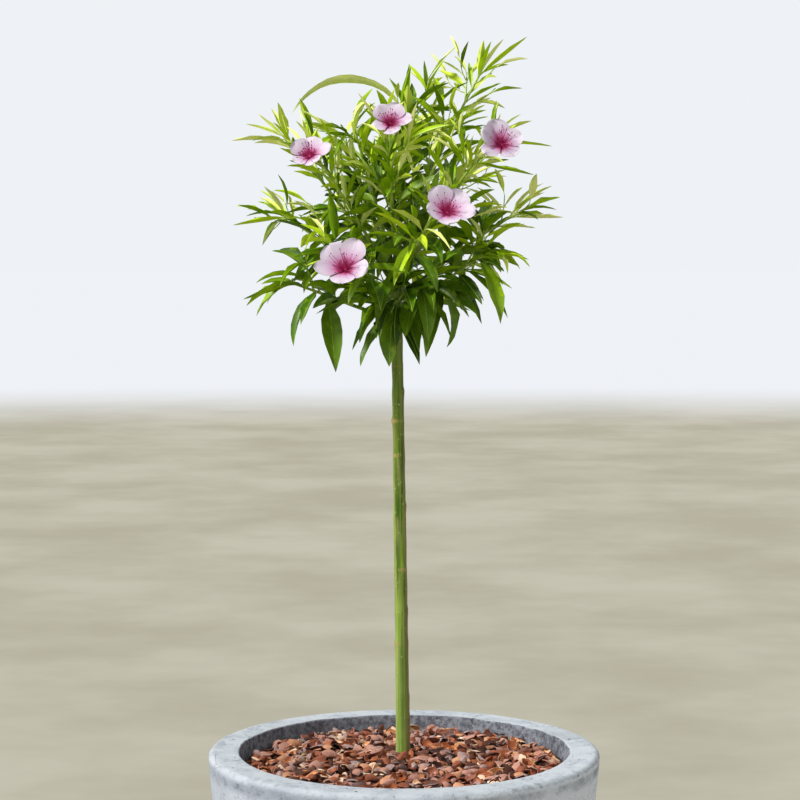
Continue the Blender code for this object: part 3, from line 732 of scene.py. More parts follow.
def bark(name, jointed):
    finish = Finish(name, Specular_IOR_Level=0.32, Coat_Weight=0.05, Coat_Roughness=0.3)
    place = finish.objectPlace()
    x, y, z = finish.axes(place)
    streak = finish.noise(finish.stretched(place, (400, 400, 7)), 1, 4, 0.6)
    cloud = finish.noise(place, 60, 3, 0.5)
    flecks = 1 - finish.step(finish.cells(finish.stretched(place, (420, 420, 190)), 1), 0.10, 0.26)
    flecks = flecks * finish.step(finish.noise(place, 130, 2), 0.50, 0.58)
    color = finish.coats(
        finish.mix(finish.step(streak, 0.40, 0.60), tone(50, 84, 0), tone(132, 162, 42)),
        (finish.step(cloud, 0.45, 0.7) * 0.22, 156, 170, 92),
        # partly the bark's own colour and partly painted shade: paler towards the foot, darker green
        # towards the top, where the crown shades the stem
        ((1 - finish.step(z, 0.40, 0.66)) * 0.42, 148, 176, 84),
        (finish.step(z, 0.50, 0.76) * 0.5, 76, 100, 2),
        (flecks * 0.7, 206, 206, 150),
    )
    if jointed:
        drift = (stem["lean"][1] - stem["lean"][0]) / (stem["top"] - stem["foot"])
        side = x - (stem["lean"][0] + (z - stem["foot"]) * drift)
        ridge, scar = [
            finish.node("ShaderNodeAttribute", {"attribute_name": kind}, None, 2)
            for kind in ("ridge", "scar")
        ]
        color = finish.coats(
            color,
            # painted shade: the stem's right side, away from the sun, is tinted a dull brown
            (finish.step(side, 0.0030, 0.0064) * (0.5 + cloud * 0.5), 134, 108, 66),
            # painted light: the stem's left side, towards the sun, is lightened
            ((1 - finish.step(side, -0.0066, -0.0032)) * 0.45, 178, 184, 118),
            (ridge * 0.62, 160, 150, 100),
            (finish.step(scar, 0.16, 0.62), 176, 152, 96),
            (finish.step(scar, 0.86, 0.98) * 0.6, 96, 62, 34),
        )
    return finish.wear(
        Base_Color=color,
        Roughness=0.42 + cloud * 0.2,
        Normal=finish.bump(streak * 0.4 + flecks * 0.6, 0.00015),
    )


crownSpace = dict(
    middle=Vector((-0.001, 0.0, 0.925)),
    radii=Vector((0.171, 0.162, 0.166)),
    power=2.6,
    tilt=0.12,
)
boughSizes = dict(radius=(0.0023, 0.0017), length=0.046, sides=12, cuts=16)
shootSizes = dict(stem=(0.0022, 0.0011), twig=(0.0016, 0.0009), turn=radians(144))

# bearing and reach of a shoot's tip, its height, the height where it leaves the stem, and bow
shoots = {
    "leader": (345, 0.012, 1.010, 0.8723, 0.00),
    "top_right": (4, 0.084, 1.052, 0.852, 0.34),
    "top_back": (80, 0.056, 0.996, 0.845, 0.06),
    "top_left": (208, 0.048, 1.002, 0.850, 0.04),
    "front_high": (264, 0.080, 0.990, 0.846, 0.24),
    "left_back": (140, 0.072, 0.992, 0.842, 0.20),
    "left_high": (181, 0.110, 0.990, 0.838, 0.20),
    "left_front": (224, 0.100, 0.962, 0.834, 0.22),
    "left_mid": (172, 0.112, 0.912, 0.822, 0.20),
    "left_low": (190, 0.104, 0.846, 0.806, 0.10),
    "front_left": (244, 0.094, 0.872, 0.814, 0.24),
    "front_right": (292, 0.102, 0.918, 0.828, 0.26),
    "right_high": (330, 0.108, 0.986, 0.840, 0.24),
    "right_mid": (2, 0.116, 0.912, 0.826, 0.22),
    "right_low": (336, 0.094, 0.874, 0.808, 0.20),
    "back_right": (44, 0.106, 0.958, 0.834, 0.24),
    "back_left": (112, 0.102, 0.942, 0.828, 0.24),
    "back_low": (80, 0.100, 0.876, 0.810, 0.20),
    "tuft_front": (262, 0.040, 0.838, 0.800, 0.20),
    "tuft_right": (304, 0.046, 0.846, 0.812, 0.20),
    "tuft_back": (128, 0.044, 0.842, 0.806, 0.20),
}
bareShoots = ("leader", "tuft_front", "tuft_right", "tuft_back")

leafRule = dict(
    length=(0.084, 0.044),  # old and low in the crown first, then young and high
    width=(0.0225, 0.0080),
    pitch=(radians(66), radians(30)),
    arch=(1.25, 0.70),
    lift=(-0.34, 0.34),  # turned down low in the crown, up above
    oldHeight=0.82,  # below it leaves are at their oldest
    youngUp=0.115,
    youngOut=0.11,
    thick=0.0125,
    spacing=0.0125,
    root=(0.0, 0.05),
    rootDepth=0.4,
    sections=(
        (0.090, ((0.16, 0.72), (0.38, 1.0), (0.60, 0.86), (0.82, 0.50))),
        (0.056, ((0.30, 0.96), (0.66, 0.74))),
        (0.000, ((0.40, 1.0),)),
    ),
    tries=12,
    twigStep=4,
    twigLength=0.054,
    twigVary=(0.7, 1.15),
    twigTries=4,
    twigSpread=(0.6, 0.95),
    twigSway=0.5,
    twigBend=0.45,
    twigLeaves=4,
    terminal=3,
)
fineRule = dict(  # what grows between the leaves and twigs of the solids
    twigEvery=2,
    twigLength=0.042,
    twigVary=(0.7, 1.2),
    twigTries=3,
    twigSpread=(0.5, 0.95),
    twigSway=0.6,
    twigBend=0.5,
    twigThick=0.0011,
    twigLeaves=5,
    twiglets=2,  # on each side twig
    twigletLength=0.024,
    twigletThick=0.0009,
    twigletLeaves=3,
    size=(0.62, 0.92),  # of the leaf that the rule gives
    slim=(0.62, 0.86),
    dense=0.045,  # within this of the trunk's axis nothing is left out
    thinned=0.14,  # and from here on few are kept
    kept=0.30,
    tries=4,
)
# shoot, place along it, bearing, pitch, length, width, arch and roll
markedLeaves = (
    ("leader", 0.97, 177, 68, 0.140, 0.0115, 132, 40),
    ("left_low", 0.68, 282, -50, 0.082, 0.0205, 30, 8),
    ("right_low", 0.94, 296, -26, 0.080, 0.0205, 56, -6),
    ("right_low", 0.58, 250, -42, 0.082, 0.0190, 42, 6),
    ("tuft_front", 0.55, 262, -30, 0.066, 0.0230, 66, 0),
    ("tuft_front", 0.97, 214, -24, 0.062, 0.0210, 60, 10),
    ("tuft_right", 0.60, 300, -34, 0.064, 0.0200, 52, 0),
    ("tuft_right", 0.97, 280, -20, 0.070, 0.0220, 70, 0),
    ("front_right", 0.42, 232, -20, 0.084, 0.0240, 62, 0),
    ("right_mid", 0.98, 352, 6, 0.052, 0.0100, 14, 0),
    ("left_high", 0.97, 188, 10, 0.056, 0.0110, 22, 0),
    ("left_high", 0.99, 180, 46, 0.034, 0.0085, 12, 0),
    ("left_mid", 0.98, 184, -2, 0.054, 0.0095, 14, 0),
    ("left_low", 0.98, 186, -10, 0.052, 0.0100, 14, 0),
    ("right_high", 0.97, 352, 4, 0.060, 0.0095, 14, 0),
    ("right_high", 0.84, 346, -8, 0.060, 0.0105, 8, 0),
    ("tuft_right", 0.76, 334, -36, 0.060, 0.0180, 50, 0),
    ("top_right", 0.99, 6, 44, 0.059, 0.0105, 12, 0),
    ("top_right", 0.96, 300, 62, 0.046, 0.0090, 20, 0),
)
# shoot, centre, bearing and tilt of the face, radius
blossoms = (
    ("front_high", (-0.013, -0.098, 0.997), 262, 38, 0.0195, 16, 1),
    ("left_front", (-0.089, -0.086, 0.967), 250, 38, 0.0200, 34, 1),
    ("right_high", (0.092, -0.072, 0.978), 284, 38, 0.0250, 30, -1),
    ("front_right", (0.040, -0.118, 0.9135), 272, 38, 0.0255, 0, 1),
    ("front_left", (-0.055, -0.108, 0.8605), 262, 38, 0.0278, 0, -1),
)
petalRule = dict(
    petals=((-22, 1.04, 0.94), (38, 1.00, 0.98), (100, 1.12, 0.70), (178, 0.82, 0.84), (260, 0.84, 0.80)),
    sections=((0.0, 0.20), (0.48, 0.96), (0.80, 0.88), (1.0, 0.34)),
    arch=0.12,
    roll=0.10,
    rise=radians(20),
)
sight = dict(radius=0.9, length=0.075)  # kept clear in front of each blossom
skyGaps = (
    (-0.066, 1.020, 0.021),
    (-0.093, 0.938, 0.013),
    (0.058, 1.030, 0.011),
    (0.116, 0.958, 0.010),
    (0.118, 0.885, 0.012),
    (-0.118, 0.892, 0.013),
    (-0.140, 0.860, 0.014),
    (-0.117, 0.823, 0.017),
    (-0.055, 0.809, 0.015),
)


class Spine:  # a shoot's axis, from the stem's axis to its tip
    def __init__(self, row):
        bearing, reach, tip, leaves, bow = row
        angle = radians(bearing)
        self.start = stemAxis(leaves)
        out = onCircle(1, angle)
        self.end = Vector((stem["lean"][1], 0, 0)) + out * reach + up * tip
        span = self.end - self.start
        level = Vector((span.x, span.y, 0))
        self.bend = self.start + level * (0.5 - bow * 0.5) + up * span.z * 0.5
        self.length = span.length

    def point(self, t):
        return self.start.lerp(self.bend, t).lerp(self.bend.lerp(self.end, t), t)

    def tangent(self, t):
        return (self.bend.lerp(self.end, t) - self.start.lerp(self.bend, t)).normalized()

    def both(self, t):
        return self.point(t), self.tangent(t)


def frameRound(axis):  # two directions square to an axis and to each other
    side = axis.cross(up)
    if side.length < 1e-3:
        side = Vector((1, 0, 0))
    side.normalize()
    return side, axis.cross(side).normalized()


def loft(sections, tip=None):  # a closed skin over equal-sided sections
    sides = len(sections[0])
    points = [p for section in sections for p in section]
    faces = [tuple(range(sides))[::-1]]
    for row in range(len(sections) - 1):
        for i in range(sides):
            j = (i + 1) % sides
            a, b = row * sides, (row + 1) * sides
            faces.append((a + i, a + j, b + j, b + i))
    last = (len(sections) - 1) * sides
    if tip is None:
        faces.append(tuple(last + i for i in range(sides)))
    else:
        points.append(tip)
        faces += [(last + i, last + (i + 1) % sides, len(points) - 1) for i in range(sides)]
    return points, faces


def ringAt(point, axis, radius, sides, side=None):
    u, v = frameRound(axis)
    if side:
        u = (side - axis * side.dot(axis)).normalized()
        v = axis.cross(u)
    angles = [tau * i / sides for i in range(sides)]
    return [point + leaning(u, v, a) * radius for a in angles]


def rod(curve, start, end, radii, steps, sides):  # a tapering twig along a curve
    sections = []
    side = frameRound(curve(start)[1])[0]
    for i in range(steps + 1):
        point, axis = curve(between((start, end), i / steps))
        sections.append(ringAt(point, axis, between(radii, i / steps), sides, side))
    return loft(sections)


def bead(middle, axis, sides, *rows):  # a closed skin over rings of (place on the axis, radius)
    return loft([ringAt(middle + axis * along, axis, radius, sides) for along, radius in rows])


class Blade:  # a leaf, petal or twig: an arc from its root that bends towards down
    def __init__(self, root, heading, down, length, width, arch, roll=0.0):
        self.root = root
        self.heading = heading.normalized()
        self.down = (down - self.heading * down.dot(self.heading)).normalized()
        self.length, self.width, self.arch, self.roll = length, width, arch, roll

    def both(self, t):
        return self.point(t), self.axes(t)[0]

    def point(self, t):
        bend = max(self.arch, 1e-4)
        along = sin(bend * t) / bend
        drop = (1 - cos(bend * t)) / bend
        return self.root + (self.heading * along + self.down * drop) * self.length

    def outerSections(self):
        return next(sections for least, sections in leafRule["sections"] if self.length >= least)

    def axes(self, t, extraRoll=0.0):  # ahead, to the side, and under
        angle = self.arch * t
        ahead = leaning(self.heading, self.down, angle)
        under = leaning(self.down, -self.heading, angle)
        under = Matrix.Rotation(self.roll + extraRoll, 3, ahead) @ under
        return ahead, ahead.cross(under).normalized(), under

    def solid(self, sections=None, grow=0.0, pointed=True):  # the plain form of the solids
        if sections is None:
            sections = (leafRule["root"], *self.outerSections())
        thick = max(self.length * leafRule["thick"], 0.0009)
        rings = []
        for t, share in sections:
            middle = self.point(t)
            ahead, side, under = self.axes(t)
            half = self.width * 0.5 * share + grow
            depth = thick * (1.0 if t > 0 else leafRule["rootDepth"]) + grow
            middle = middle - ahead * grow if t == 0 else middle
            rings.append(
                [middle - side * half - under * grow, middle + under * depth,
                 middle + side * half - under * grow]
            )
        return loft(rings, self.point(1.0) + self.axes(1.0)[0] * grow if pointed else None)


def facingWay(bearing, tilt):
    turn, rise = radians(bearing), radians(tilt)
    return onCircle(cos(rise), turn, sin(rise))


class Crown:  # what a new leaf must keep clear of, and where leaves may go
    def __init__(self):
        self.owners, self.trees = [], []
        self.lows, self.highs = np.empty((0, 3)), np.empty((0, 3))
        self.numbers = {}
        self.ownerOf = np.empty(0, np.int32)
        self.sights = [
            (Vector(centre), facingWay(bearing, tilt), radius)
            for _, centre, bearing, tilt, radius, _, _ in blossoms
        ]

    def add(self, owner, points, faces):
        box = np.array([tuple(p) for p in points])
        self.trees.append(BVHTree.FromPolygons(points, faces))
        number = self.numbers.setdefault(owner, len(self.numbers))
        self.lows = np.vstack([self.lows, box.min(0)])
        self.highs = np.vstack([self.highs, box.max(0)])
        self.ownerOf = np.append(self.ownerOf, number)

    def addNode(self, name):
        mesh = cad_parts[name].data
        self.add(name, [v.co.copy() for v in mesh.vertices], [tuple(p.vertices) for p in mesh.polygons])

    def isClear(self, points, faces, own=None):
        box = np.array([tuple(p) for p in points])
        low, high = box.min(0), box.max(0)
        near = ((self.lows <= high) & (self.highs >= low)).all(1)
        near &= self.ownerOf != self.numbers.get(own, -1)
        found = np.flatnonzero(near)
        if not len(found):
            return True
        tree = BVHTree.FromPolygons(points, faces)
        return not any(tree.overlap(self.trees[i]) for i in found)

    def allows(self, point):
        offset = point - crownSpace["middle"]
        offset.z -= crownSpace["tilt"] * offset.x
        radii = crownSpace["radii"]
        size = sum(abs(offset[i] / radii[i]) ** crownSpace["power"] for i in range(3))
        if size > 1:
            return False
        for x, z, radius in skyGaps:
            if (point.x - x) ** 2 + (point.z - z) ** 2 < radius**2:
                return False
        return self.showsBlossoms(point)

    def holds(self, blade, *shares):
        return all(self.allows(blade.point(t)) for t in shares)

    def showsBlossoms(self, point):
        for centre, face, radius in self.sights:
            along = (point - centre).dot(face)
            if -0.004 < along < sight["length"]:
                if (point - centre - face * along).length < radius * sight["radius"]:
                    return False
            ahead = Vector((0, -1, 0))
            along = (point - centre).dot(ahead)
            if along > 0 and (point - centre - ahead * along).length < radius * sight["radius"]:
                return False
        return True


def leafOn(key, point, axis, turn, age, tries):
    rng = random.Random(f"{key}/{tries}")
    u, v = frameRound(axis)
    turn += rng.uniform(-0.35, 0.35) + tries * rng.uniform(-0.9, 0.9)
    pitch = between(leafRule["pitch"], age) + rng.uniform(-0.2, 0.2 + 0.03 * tries)
    heading = leaning(axis, leaning(u, v, turn), pitch)
    high = ramp(point.z, leafRule["oldHeight"], leafRule["youngUp"])
    out = min(1, hypot(point.x, point.y) / leafRule["youngOut"])
    young = min(1, 0.2 * age + 0.6 * high + 0.35 * out)
    heading = (heading + up * between(leafRule["lift"], high)).normalized()
    arch = between(leafRule["arch"], high) * rng.uniform(0.5, 1.25)
    length = between(leafRule["length"], young) * rng.uniform(0.82, 1.16) * (1 - 0.035 * tries)
    width = between(leafRule["width"], young) * rng.uniform(0.85, 1.15) * (1 - 0.015 * tries)
    down = -up if abs(heading.z) < 0.985 else -u
    return Blade(point, heading, down, length, width, arch, rng.uniform(-0.8, 0.8))


def twigsFrom(key, root, axis, turn, rule, length):  # one after the other, until one fits
    rng = random.Random(key)
    for _ in range(rule["twigTries"]):
        spread = rng.uniform(*rule["twigSpread"])
        turn += rng.uniform(-rule["twigSway"], rule["twigSway"])
        heading = leaning(axis, leaning(*frameRound(axis), turn), spread).normalized()
        yield Blade(root, heading, up, length * rng.uniform(*rule["twigVary"]), 0, rule["twigBend"])


def petalsOf(face, turned, side):  # where each petal points, and its length and width
    top = (up - face * face.z).normalized()
    right = top.cross(face)
    for angle, long, wide in petalRule["petals"]:
        turn = radians(angle * side - turned)
        yield leaning(top, right, turn), long, wide


class Spray:  # one mass of foliage: its stem, side twigs and leaves
    def __init__(self, name, spine, start, crown):
        self.name, self.spine, self.crown = name, spine, crown
        self.start = start + gap / spine.length
        self.leaves, self.twigs = [], []  # (blade, age) and paths
        crown.add(name, *rod(spine.both, self.start, 1.0, shootSizes["stem"], 4, 3))

    def fits(self, blade):
        if not self.crown.isClear(*blade.solid(grow=2 * gap), own=self.name):
            return False
        return self.crown.isClear(*blade.solid(blade.outerSections(), grow=gap))

    def keep(self, blade, age):
        self.crown.add(self.name, *blade.solid())
        self.leaves.append((blade, age))

    def leaf(self, key, point, axis, turn, age):
        for tries in range(leafRule["tries"]):
            blade = leafOn(f"{self.name}/{key}", point, axis, turn, age, tries)
            if self.crown.holds(blade, 0.35, 0.7, 1.0) and self.fits(blade):
                return self.keep(blade, age)

    def fineLeaf(self, key, point, axis, turn, age):
        dense, out = fineRule["dense"], hypot(point.x, point.y)
        kept = between((1.0, fineRule["kept"]), ramp(out, dense, fineRule["thinned"] - dense))
        if random.Random(f"{self.name}/kept{key}").random() > kept:
            return
        for tries in range(fineRule["tries"]):
            blade = leafOn(f"{self.name}/fine{key}", point, axis, turn, age, tries)
            rng = random.Random(f"{self.name}/size{key}")
            blade.length *= between(fineRule["size"], rng.random())
            blade.width *= between(fineRule["slim"], rng.random())
            clear = self.crown.holds(blade, 0.5, 1.0)
            if clear and self.crown.isClear(*blade.solid(blade.outerSections())):
                return self.keep(blade, age + 0.15)

    def twig(self, key, share, turn):
        length = leafRule["twigLength"] * (1.15 - 0.5 * share)
        wide = [size + 2 * gap for size in shootSizes["twig"]]
        place = self.spine.both(share)
        for path in twigsFrom(f"{self.name}/twig{key}", *place, turn, leafRule, length):
            clear = self.crown.holds(path, 1.0)
            clear = clear and self.crown.isClear(*rod(path.both, 0, 1, wide, 2, 3), own=self.name)
            if clear and self.crown.isClear(*rod(path.both, 0.15, 1, wide, 2, 3)):
                self.crown.add(self.name, *rod(path.both, 0, 1, shootSizes["twig"], 2, 3))
                self.twigs.append((path, 1.0))
                return path

    def fineTwig(self, key, point, axis, turn, length, thick):
        for path in twigsFrom(f"{self.name}/fineTwig{key}", point, axis, turn, fineRule, length):
            skin = rod(path.both, 0.12, 1, (thick, thick * 0.6), 2, 3)
            if self.crown.holds(path, 1.0) and self.crown.isClear(*skin):
                self.crown.add(self.name, *skin)
                self.twigs.append((path, thick / shootSizes["twig"][0]))
                return path

    def stations(self, index, within):  # number, age, place and turn of each leaf on the shoot
        count = int(self.spine.length * (1 - self.start) / leafRule["spacing"])
        for i in range(count):
            age = (i + within) / count
            share = self.start + (1 - self.start) * min(age, 0.985)
            yield i, age, share, shootSizes["turn"] * i + index * 1.1

    def leavesAlong(self, leaf, key, path, end, count, turn, step, young, older):
        for j in range(count if path else 0):
            t = end * (j + 1) / count
            leaf(f"{key}.{j}", *path.both(t), turn + step * j, young + older * t)
            yield

    def grow(self, index):
        each, step = shootSizes["turn"], leafRule["twigStep"]
        for i, age, share, turn in self.stations(index, 0.5):
            self.leaf(i, *self.spine.both(share), turn, age)
            yield
            path = self.twig(i, share, turn + 2.4) if i % step == step - 2 else None
            count = leafRule["twigLeaves"]
            yield from self.leavesAlong(self.leaf, i, path, 0.985, count, turn, each, 0.45, 0.5)
        for i in range(leafRule["terminal"]):
            self.leaf(f"tip{i}", *self.spine.both(0.985), 2.1 * i + index, 1.0 + 0.25 * (i == 0))
            yield

    def growFiner(self, index):
        coarse, finer, each = list(self.twigs), self.fineLeaf, shootSizes["turn"]
        for i, age, share, turn in self.stations(index, 0.98):
            place = self.spine.both(share)
            turn += 1.3
            self.fineLeaf(i, *place, turn, age)
            yield
            if i % fineRule["twigEvery"] == 1:
                length = fineRule["twigLength"] * (1.2 - 0.5 * share)
                path = self.fineTwig(i, *place, turn + 2.0, length, fineRule["twigThick"])
                count = fineRule["twigLeaves"]
                yield from self.leavesAlong(finer, i, path, 0.99, count, turn, each, 0.5, 0.5)
        for i, (path, _) in enumerate(coarse):
            for k in range(fineRule["twiglets"]):
                key, place = f"t{i}.{k}", path.both(0.35 + 0.4 * k)
                sizes = fineRule["twigletLength"], fineRule["twigletThick"]
                small = self.fineTwig(key, *place, 2.2 * k + i, *sizes)
                count = fineRule["twigletLeaves"]
                yield from self.leavesAlong(finer, key, small, 0.99, count, k, 2.4, 0.7, 0.3)
            for j in range(2):
                t = 0.4 + 0.45 * j
                self.fineLeaf(f"u{i}.{j}", *path.both(t), 2.0 * j + i * 0.7 + 1.0, 0.6 + 0.4 * t)
                yield

    def markedLeaf(self, share, bearing, pitch, length, width, arch, roll):
        heading = facingWay(bearing, pitch)
        root = self.spine.point(share)
        blade = Blade(root, heading, -up, length, width, radians(arch), radians(roll))
        if self.fits(blade):
            self.keep(blade, 0.3)

    def blossom(self, centre, bearing, tilt, radius, turned, side):
        face = facingWay(bearing, tilt)
        shares = [self.start + (1 - self.start) * i / 40 for i in range(41)]
        share = min(shares, key=lambda t: (self.spine.point(t) - centre).length)
        root = self.spine.point(share)
        base = centre - face * 0.003
        spur = (base - root).normalized()
        curve = lambda t: (root.lerp(base + spur * 0.002, t), spur)
        self.crown.add(self.name, *rod(curve, 0, 1, shootSizes["twig"], 1, 4))
        self.crown.add(self.name, *bead(centre, face, 5, (-0.006, 0.0016), (0.001, 0.004)))
        rise = petalRule["rise"]
        for out, long, wide in petalsOf(face, turned, side):
            heading = leaning(out, face, rise)
            petal = Blade(
                centre + out * 0.001, heading, face, radius * long, radius * wide,
                petalRule["arch"], petalRule["roll"],
            )
            self.crown.add(self.name, *petal.solid(petalRule["sections"], pointed=False))
        return root, base


leafLook = dict(
    long=((0.0, 0.060), (0.09, 0.085), (0.18, 0.50), (0.34, 0.93), (0.50, 1.0), (0.66, 0.84),
          (0.81, 0.53), (0.92, 0.24)),
    short=((0.0, 0.09), (0.10, 0.13), (0.30, 0.80), (0.50, 1.0), (0.72, 0.72), (0.89, 0.32)),
    longFrom=0.052,
    archedFrom=0.100,  # from here on a leaf's arch needs more sections
    widen=1.06,
    fold=(0.32, 0.95),  # rise of the halves from the rib, in radians
    ripple=0.20,
    twist=0.85,
    sweep=0.09,
    thick=0.00042,
    rib=0.00034,
    petiole=0.0011,
)
# upper side and underside, from old and low leaves to young tips; the darker tints also serve as painted
# shade inside and low in the crown, the lighter ones as painted light on its top and outside
leafTints = (
    (tone(98, 136, 14), tone(112, 142, 40)),
    (tone(54, 88, 0), tone(96, 128, 24)),
    (tone(66, 106, 0), tone(106, 142, 14)),
    (tone(90, 134, 0), tone(130, 166, 16)),
    (tone(126, 164, 0), tone(156, 192, 20)),
    (tone(172, 206, 6), tone(188, 218, 36)),
    (tone(206, 230, 44), tone(218, 234, 104)),
    (tone(232, 242, 118), tone(236, 244, 150)),
)
underMarks = (1, 1, 1, 1, 0, 0, 2, 0, 0)  # one for each strip round a leaf's section


def leafSkin(blade, rng):
    look = leafLook
    stations = look["long"] if blade.length > look["longFrom"] else look["short"]
    if blade.length > look["archedFrom"]:
        rows = stations + ((1.0, 0.0),)
        stations = [
            tuple(between(ends, k) for ends in zip(*pair)) for pair in zip(rows, rows[1:]) for k in (0, 0.5)
        ]
    fold = between(look["fold"], rng.random())
    twist, sweep = rng.gauss(0, 0.4) * look["twist"], rng.gauss(0, 0.6) * look["sweep"]
    waves, phase = rng.uniform(1.4, 2.6), rng.uniform(0, tau)
    ripple = look["ripple"] * rng.uniform(0.3, 1.2)
    rings, spots = [], []
    for t, share in stations:
        ahead, side, under = blade.axes(t, twist * (t - 0.4))
        middle = blade.point(t) + side * (sweep * t * t * blade.length)
        half = blade.width * 0.5 * share * look["widen"]
        over = -under
        stalk = max(0, 1 - t / 0.14)
        thick = look["thick"] * (1 - 0.4 * t) + look["petiole"] * 0.8 * stalk
        keel = half * sin(fold) * 0.55
        wave = [ripple * half * sin(tau * waves * t + phase + k * 2.1) for k in (0, 1)]
        edge = half * sin(fold) - keel
        middleRise = edge * 0.15 - keel * 0.28
        flat, halfFlat = half * cos(fold), half * 0.55 * cos(fold * 0.8)
        rib = min(look["rib"], half * 0.5)
        ring = (
            (-flat, edge + wave[0] - thick * 0.5),
            (-halfFlat, middleRise - thick),
            (0.0, -keel - thick - rib * 0.9),
            (halfFlat, middleRise - thick),
            (flat, edge + wave[1] - thick * 0.5),
            (halfFlat, middleRise),
            (rib, -keel + rib * 0.15),
            (-rib, -keel + rib * 0.15),
            (-halfFlat, middleRise),
        )
        rings.append([middle + side * a + over * b for a, b in ring])
        spots += [(t, 0.5 + a / max(flat, 1e-6) * 0.5) for a, b in ring]
    ahead, side, under = blade.axes(1.0, twist * 0.6)
    tip = blade.point(1.0) + side * (sweep * blade.length)
    spots.append((1.0, 0.5))
    points, faces = loft(rings, tip)
    marks = [1] + list(underMarks) * (len(stations) - 1) + list(underMarks)
    return points, faces, marks, spots


def leafMaterial(name, color, upper):
    finish = Finish(name, Specular_IOR_Level=0.36 if upper else 0.08)
    place = finish.objectPlace()
    cloud = finish.noise(place, 90, 3, 0.5)
    fine = finish.noise(place, 700, 2, 0.5)
    amount = 0.62 + cloud * 0.66 + fine * 0.10
    color = finish.mix(finish.step(cloud, 0.55, 0.75) * 0.25, color, tone(184, 200, 40))
    height = fine * 0.3
    if upper:
        along = finish.node("ShaderNodeUVMap", {"uv_map": "along"})
        t, c, _ = finish.axes(along)
        out = finish.maths("ABSOLUTE", c - 0.5) * 2
        vein = finish.maths("SINE", (t * 17 - out * 2.4) * tau)
        vein = finish.step(vein, 0.55, 1.0) * (1 - out) * finish.step(t, 0.12, 0.2)
        color = finish.mix(vein * 0.12, color, tone(170, 196, 70))
        height = height - vein * 0.6
    return finish.wear(
        Base_Color=finish.shade(color, amount),
        Roughness=(0.26 if upper else 0.55) + cloud * 0.22,
        Normal=finish.bump(height, 0.00025),
    )


# start and span of each ramp, and the weights of what makes a leaf's colour younger and lighter: age and
# small size for young leaves, height partly for youth and partly as painted light on the crown's top, reach
# out from the stem as painted light on its outside and painted shade within
tintRule = dict(
    height=(0.81, 0.20),
    reach=0.15,
    small=(0.035, 0.04),
    large=(0.058, 0.016),
    weights=(0.50, 0.14, 0.34, 0.20),
    base=-0.14,
    largeLow=0.20,  # taken off large leaves that hang low
    spread=(0.06, 0.09, 0.15),
)


def tintOf(blade, age, rng):  # the number of a leaf's tint, from old to young and from painted shade within the crown to painted light on its top and outside
    tip = blade.point(1.0)
    high = ramp(blade.root.z, *tintRule["height"])
    out = min(1, hypot(tip.x, tip.y) / tintRule["reach"])
    small = 1 - ramp(blade.length, *tintRule["small"])
    large = ramp(blade.length, *tintRule["large"])
    signs = (high, min(age, 1.2), out, small)
    level = sum(weight * sign for weight, sign in zip(tintRule["weights"], signs)) + tintRule["base"]
    level -= tintRule["largeLow"] * large * (1 - high)
    plain, upper, little = tintRule["spread"]
    level += rng.gauss(0, plain + upper * min(1, 2 * high) + little * small)
    count = len(leafTints)
    return min(count - 1, max(0, int(level * count)))


def streaked(name, first, second, roughness):
    finish = Finish(name, Specular_IOR_Level=0.45)
    place = finish.objectPlace()
    streak = finish.noise(place, 160, 3, 0.6)
    return finish.wear(
        Base_Color=finish.mix(finish.step(streak, 0.35, 0.65), first, second),
        Roughness=roughness + streak * 0.2,
        Normal=finish.bump(streak, 0.0001),
    )


def makeLeaves(sprays, masses):
    heaps = [Heap() for _ in leafTints]
    for spray in sprays:
        for i, (blade, age) in enumerate(spray.leaves):
            rng = random.Random(f"{spray.name}/look{i}")
            heaps[tintOf(blade, age, rng)].add(*leafSkin(blade, rng))
    rib = streaked("leafRib", tone(120, 152, 40), tone(160, 184, 70), 0.45)
    for i, heap in enumerate(heaps):
        over, under = leafTints[i]
        upper, lower = leafMaterial(f"leafOver{i}", over, True), leafMaterial(f"leafUnder{i}", under, False)
        dress(heap.piece(f"leaves_{i}", 60), [upper, lower, rib], masses)
    print("leaves", sum(len(s.leaves) for s in sprays), "in", [len(h.faces) for h in heaps], "faces")


def makeShoots(sprays, masses):
    heap = Heap()
    for spray in sprays:
        heap.add(*rod(spray.spine.both, spray.start - 0.02, 1.0, (0.0020, 0.0010), 16, 8))
        for path, thick in spray.twigs:
            heap.add(*rod(path.both, 0, 1, (0.00115 * thick, 0.0007 * thick), 6, 5))
    obj = heap.piece("shoots")
    finish = streaked("youngBark", tone(128, 158, 34), tone(186, 208, 92), 0.4)
    return dress(obj, [finish], masses)


def makeBoughs(spines):
    parts = []
    for name, (spine, end) in spines.items():
        obj = rodByCuts("bough_" + name, boughSizes["sides"], boughSizes["cuts"])
        rng = random.Random("bough" + name)
        start = 0.55 * stem["radius"][1] / spine.length
        phase = rng.uniform(0, tau)
        for vertex in obj.data.vertices:
            t = between((start, end), vertex.co.z)
            point, axis = spine.both(t)
            u, v = frameRound(axis)
            angle = atan2(vertex.co.y, vertex.co.x)
            radius = between(boughSizes["radius"], vertex.co.z)
            radius += 0.0010 * bell(vertex.co.z - 0.12, 0.09)
            radius += 0.00012 * sin(3 * angle + 22 * vertex.co.z + phase)
            radius += 0.0004 * bell(vertex.co.z - 0.62, 0.035)
            if hypot(vertex.co.x, vertex.co.y) < 0.5:
                radius = 0
            vertex.co = point + leaning(u, v, angle) * radius
        parts.append(obj)
    deselect()
    for obj in parts:
        obj.select_set(True)
    bpy.context.view_layer.objects.active = parts[0]
    bpy.ops.object.join()
    boughs = bpy.context.object
    boughs.name = "boughs"
    bpy.ops.object.mode_set(mode="EDIT")
    turnFacesOut()
    smooth(boughs, 60)
    nodes = ["bough_" + name for name in spines]
    return dress(boughs, [bark("boughBark", False)], nodes)


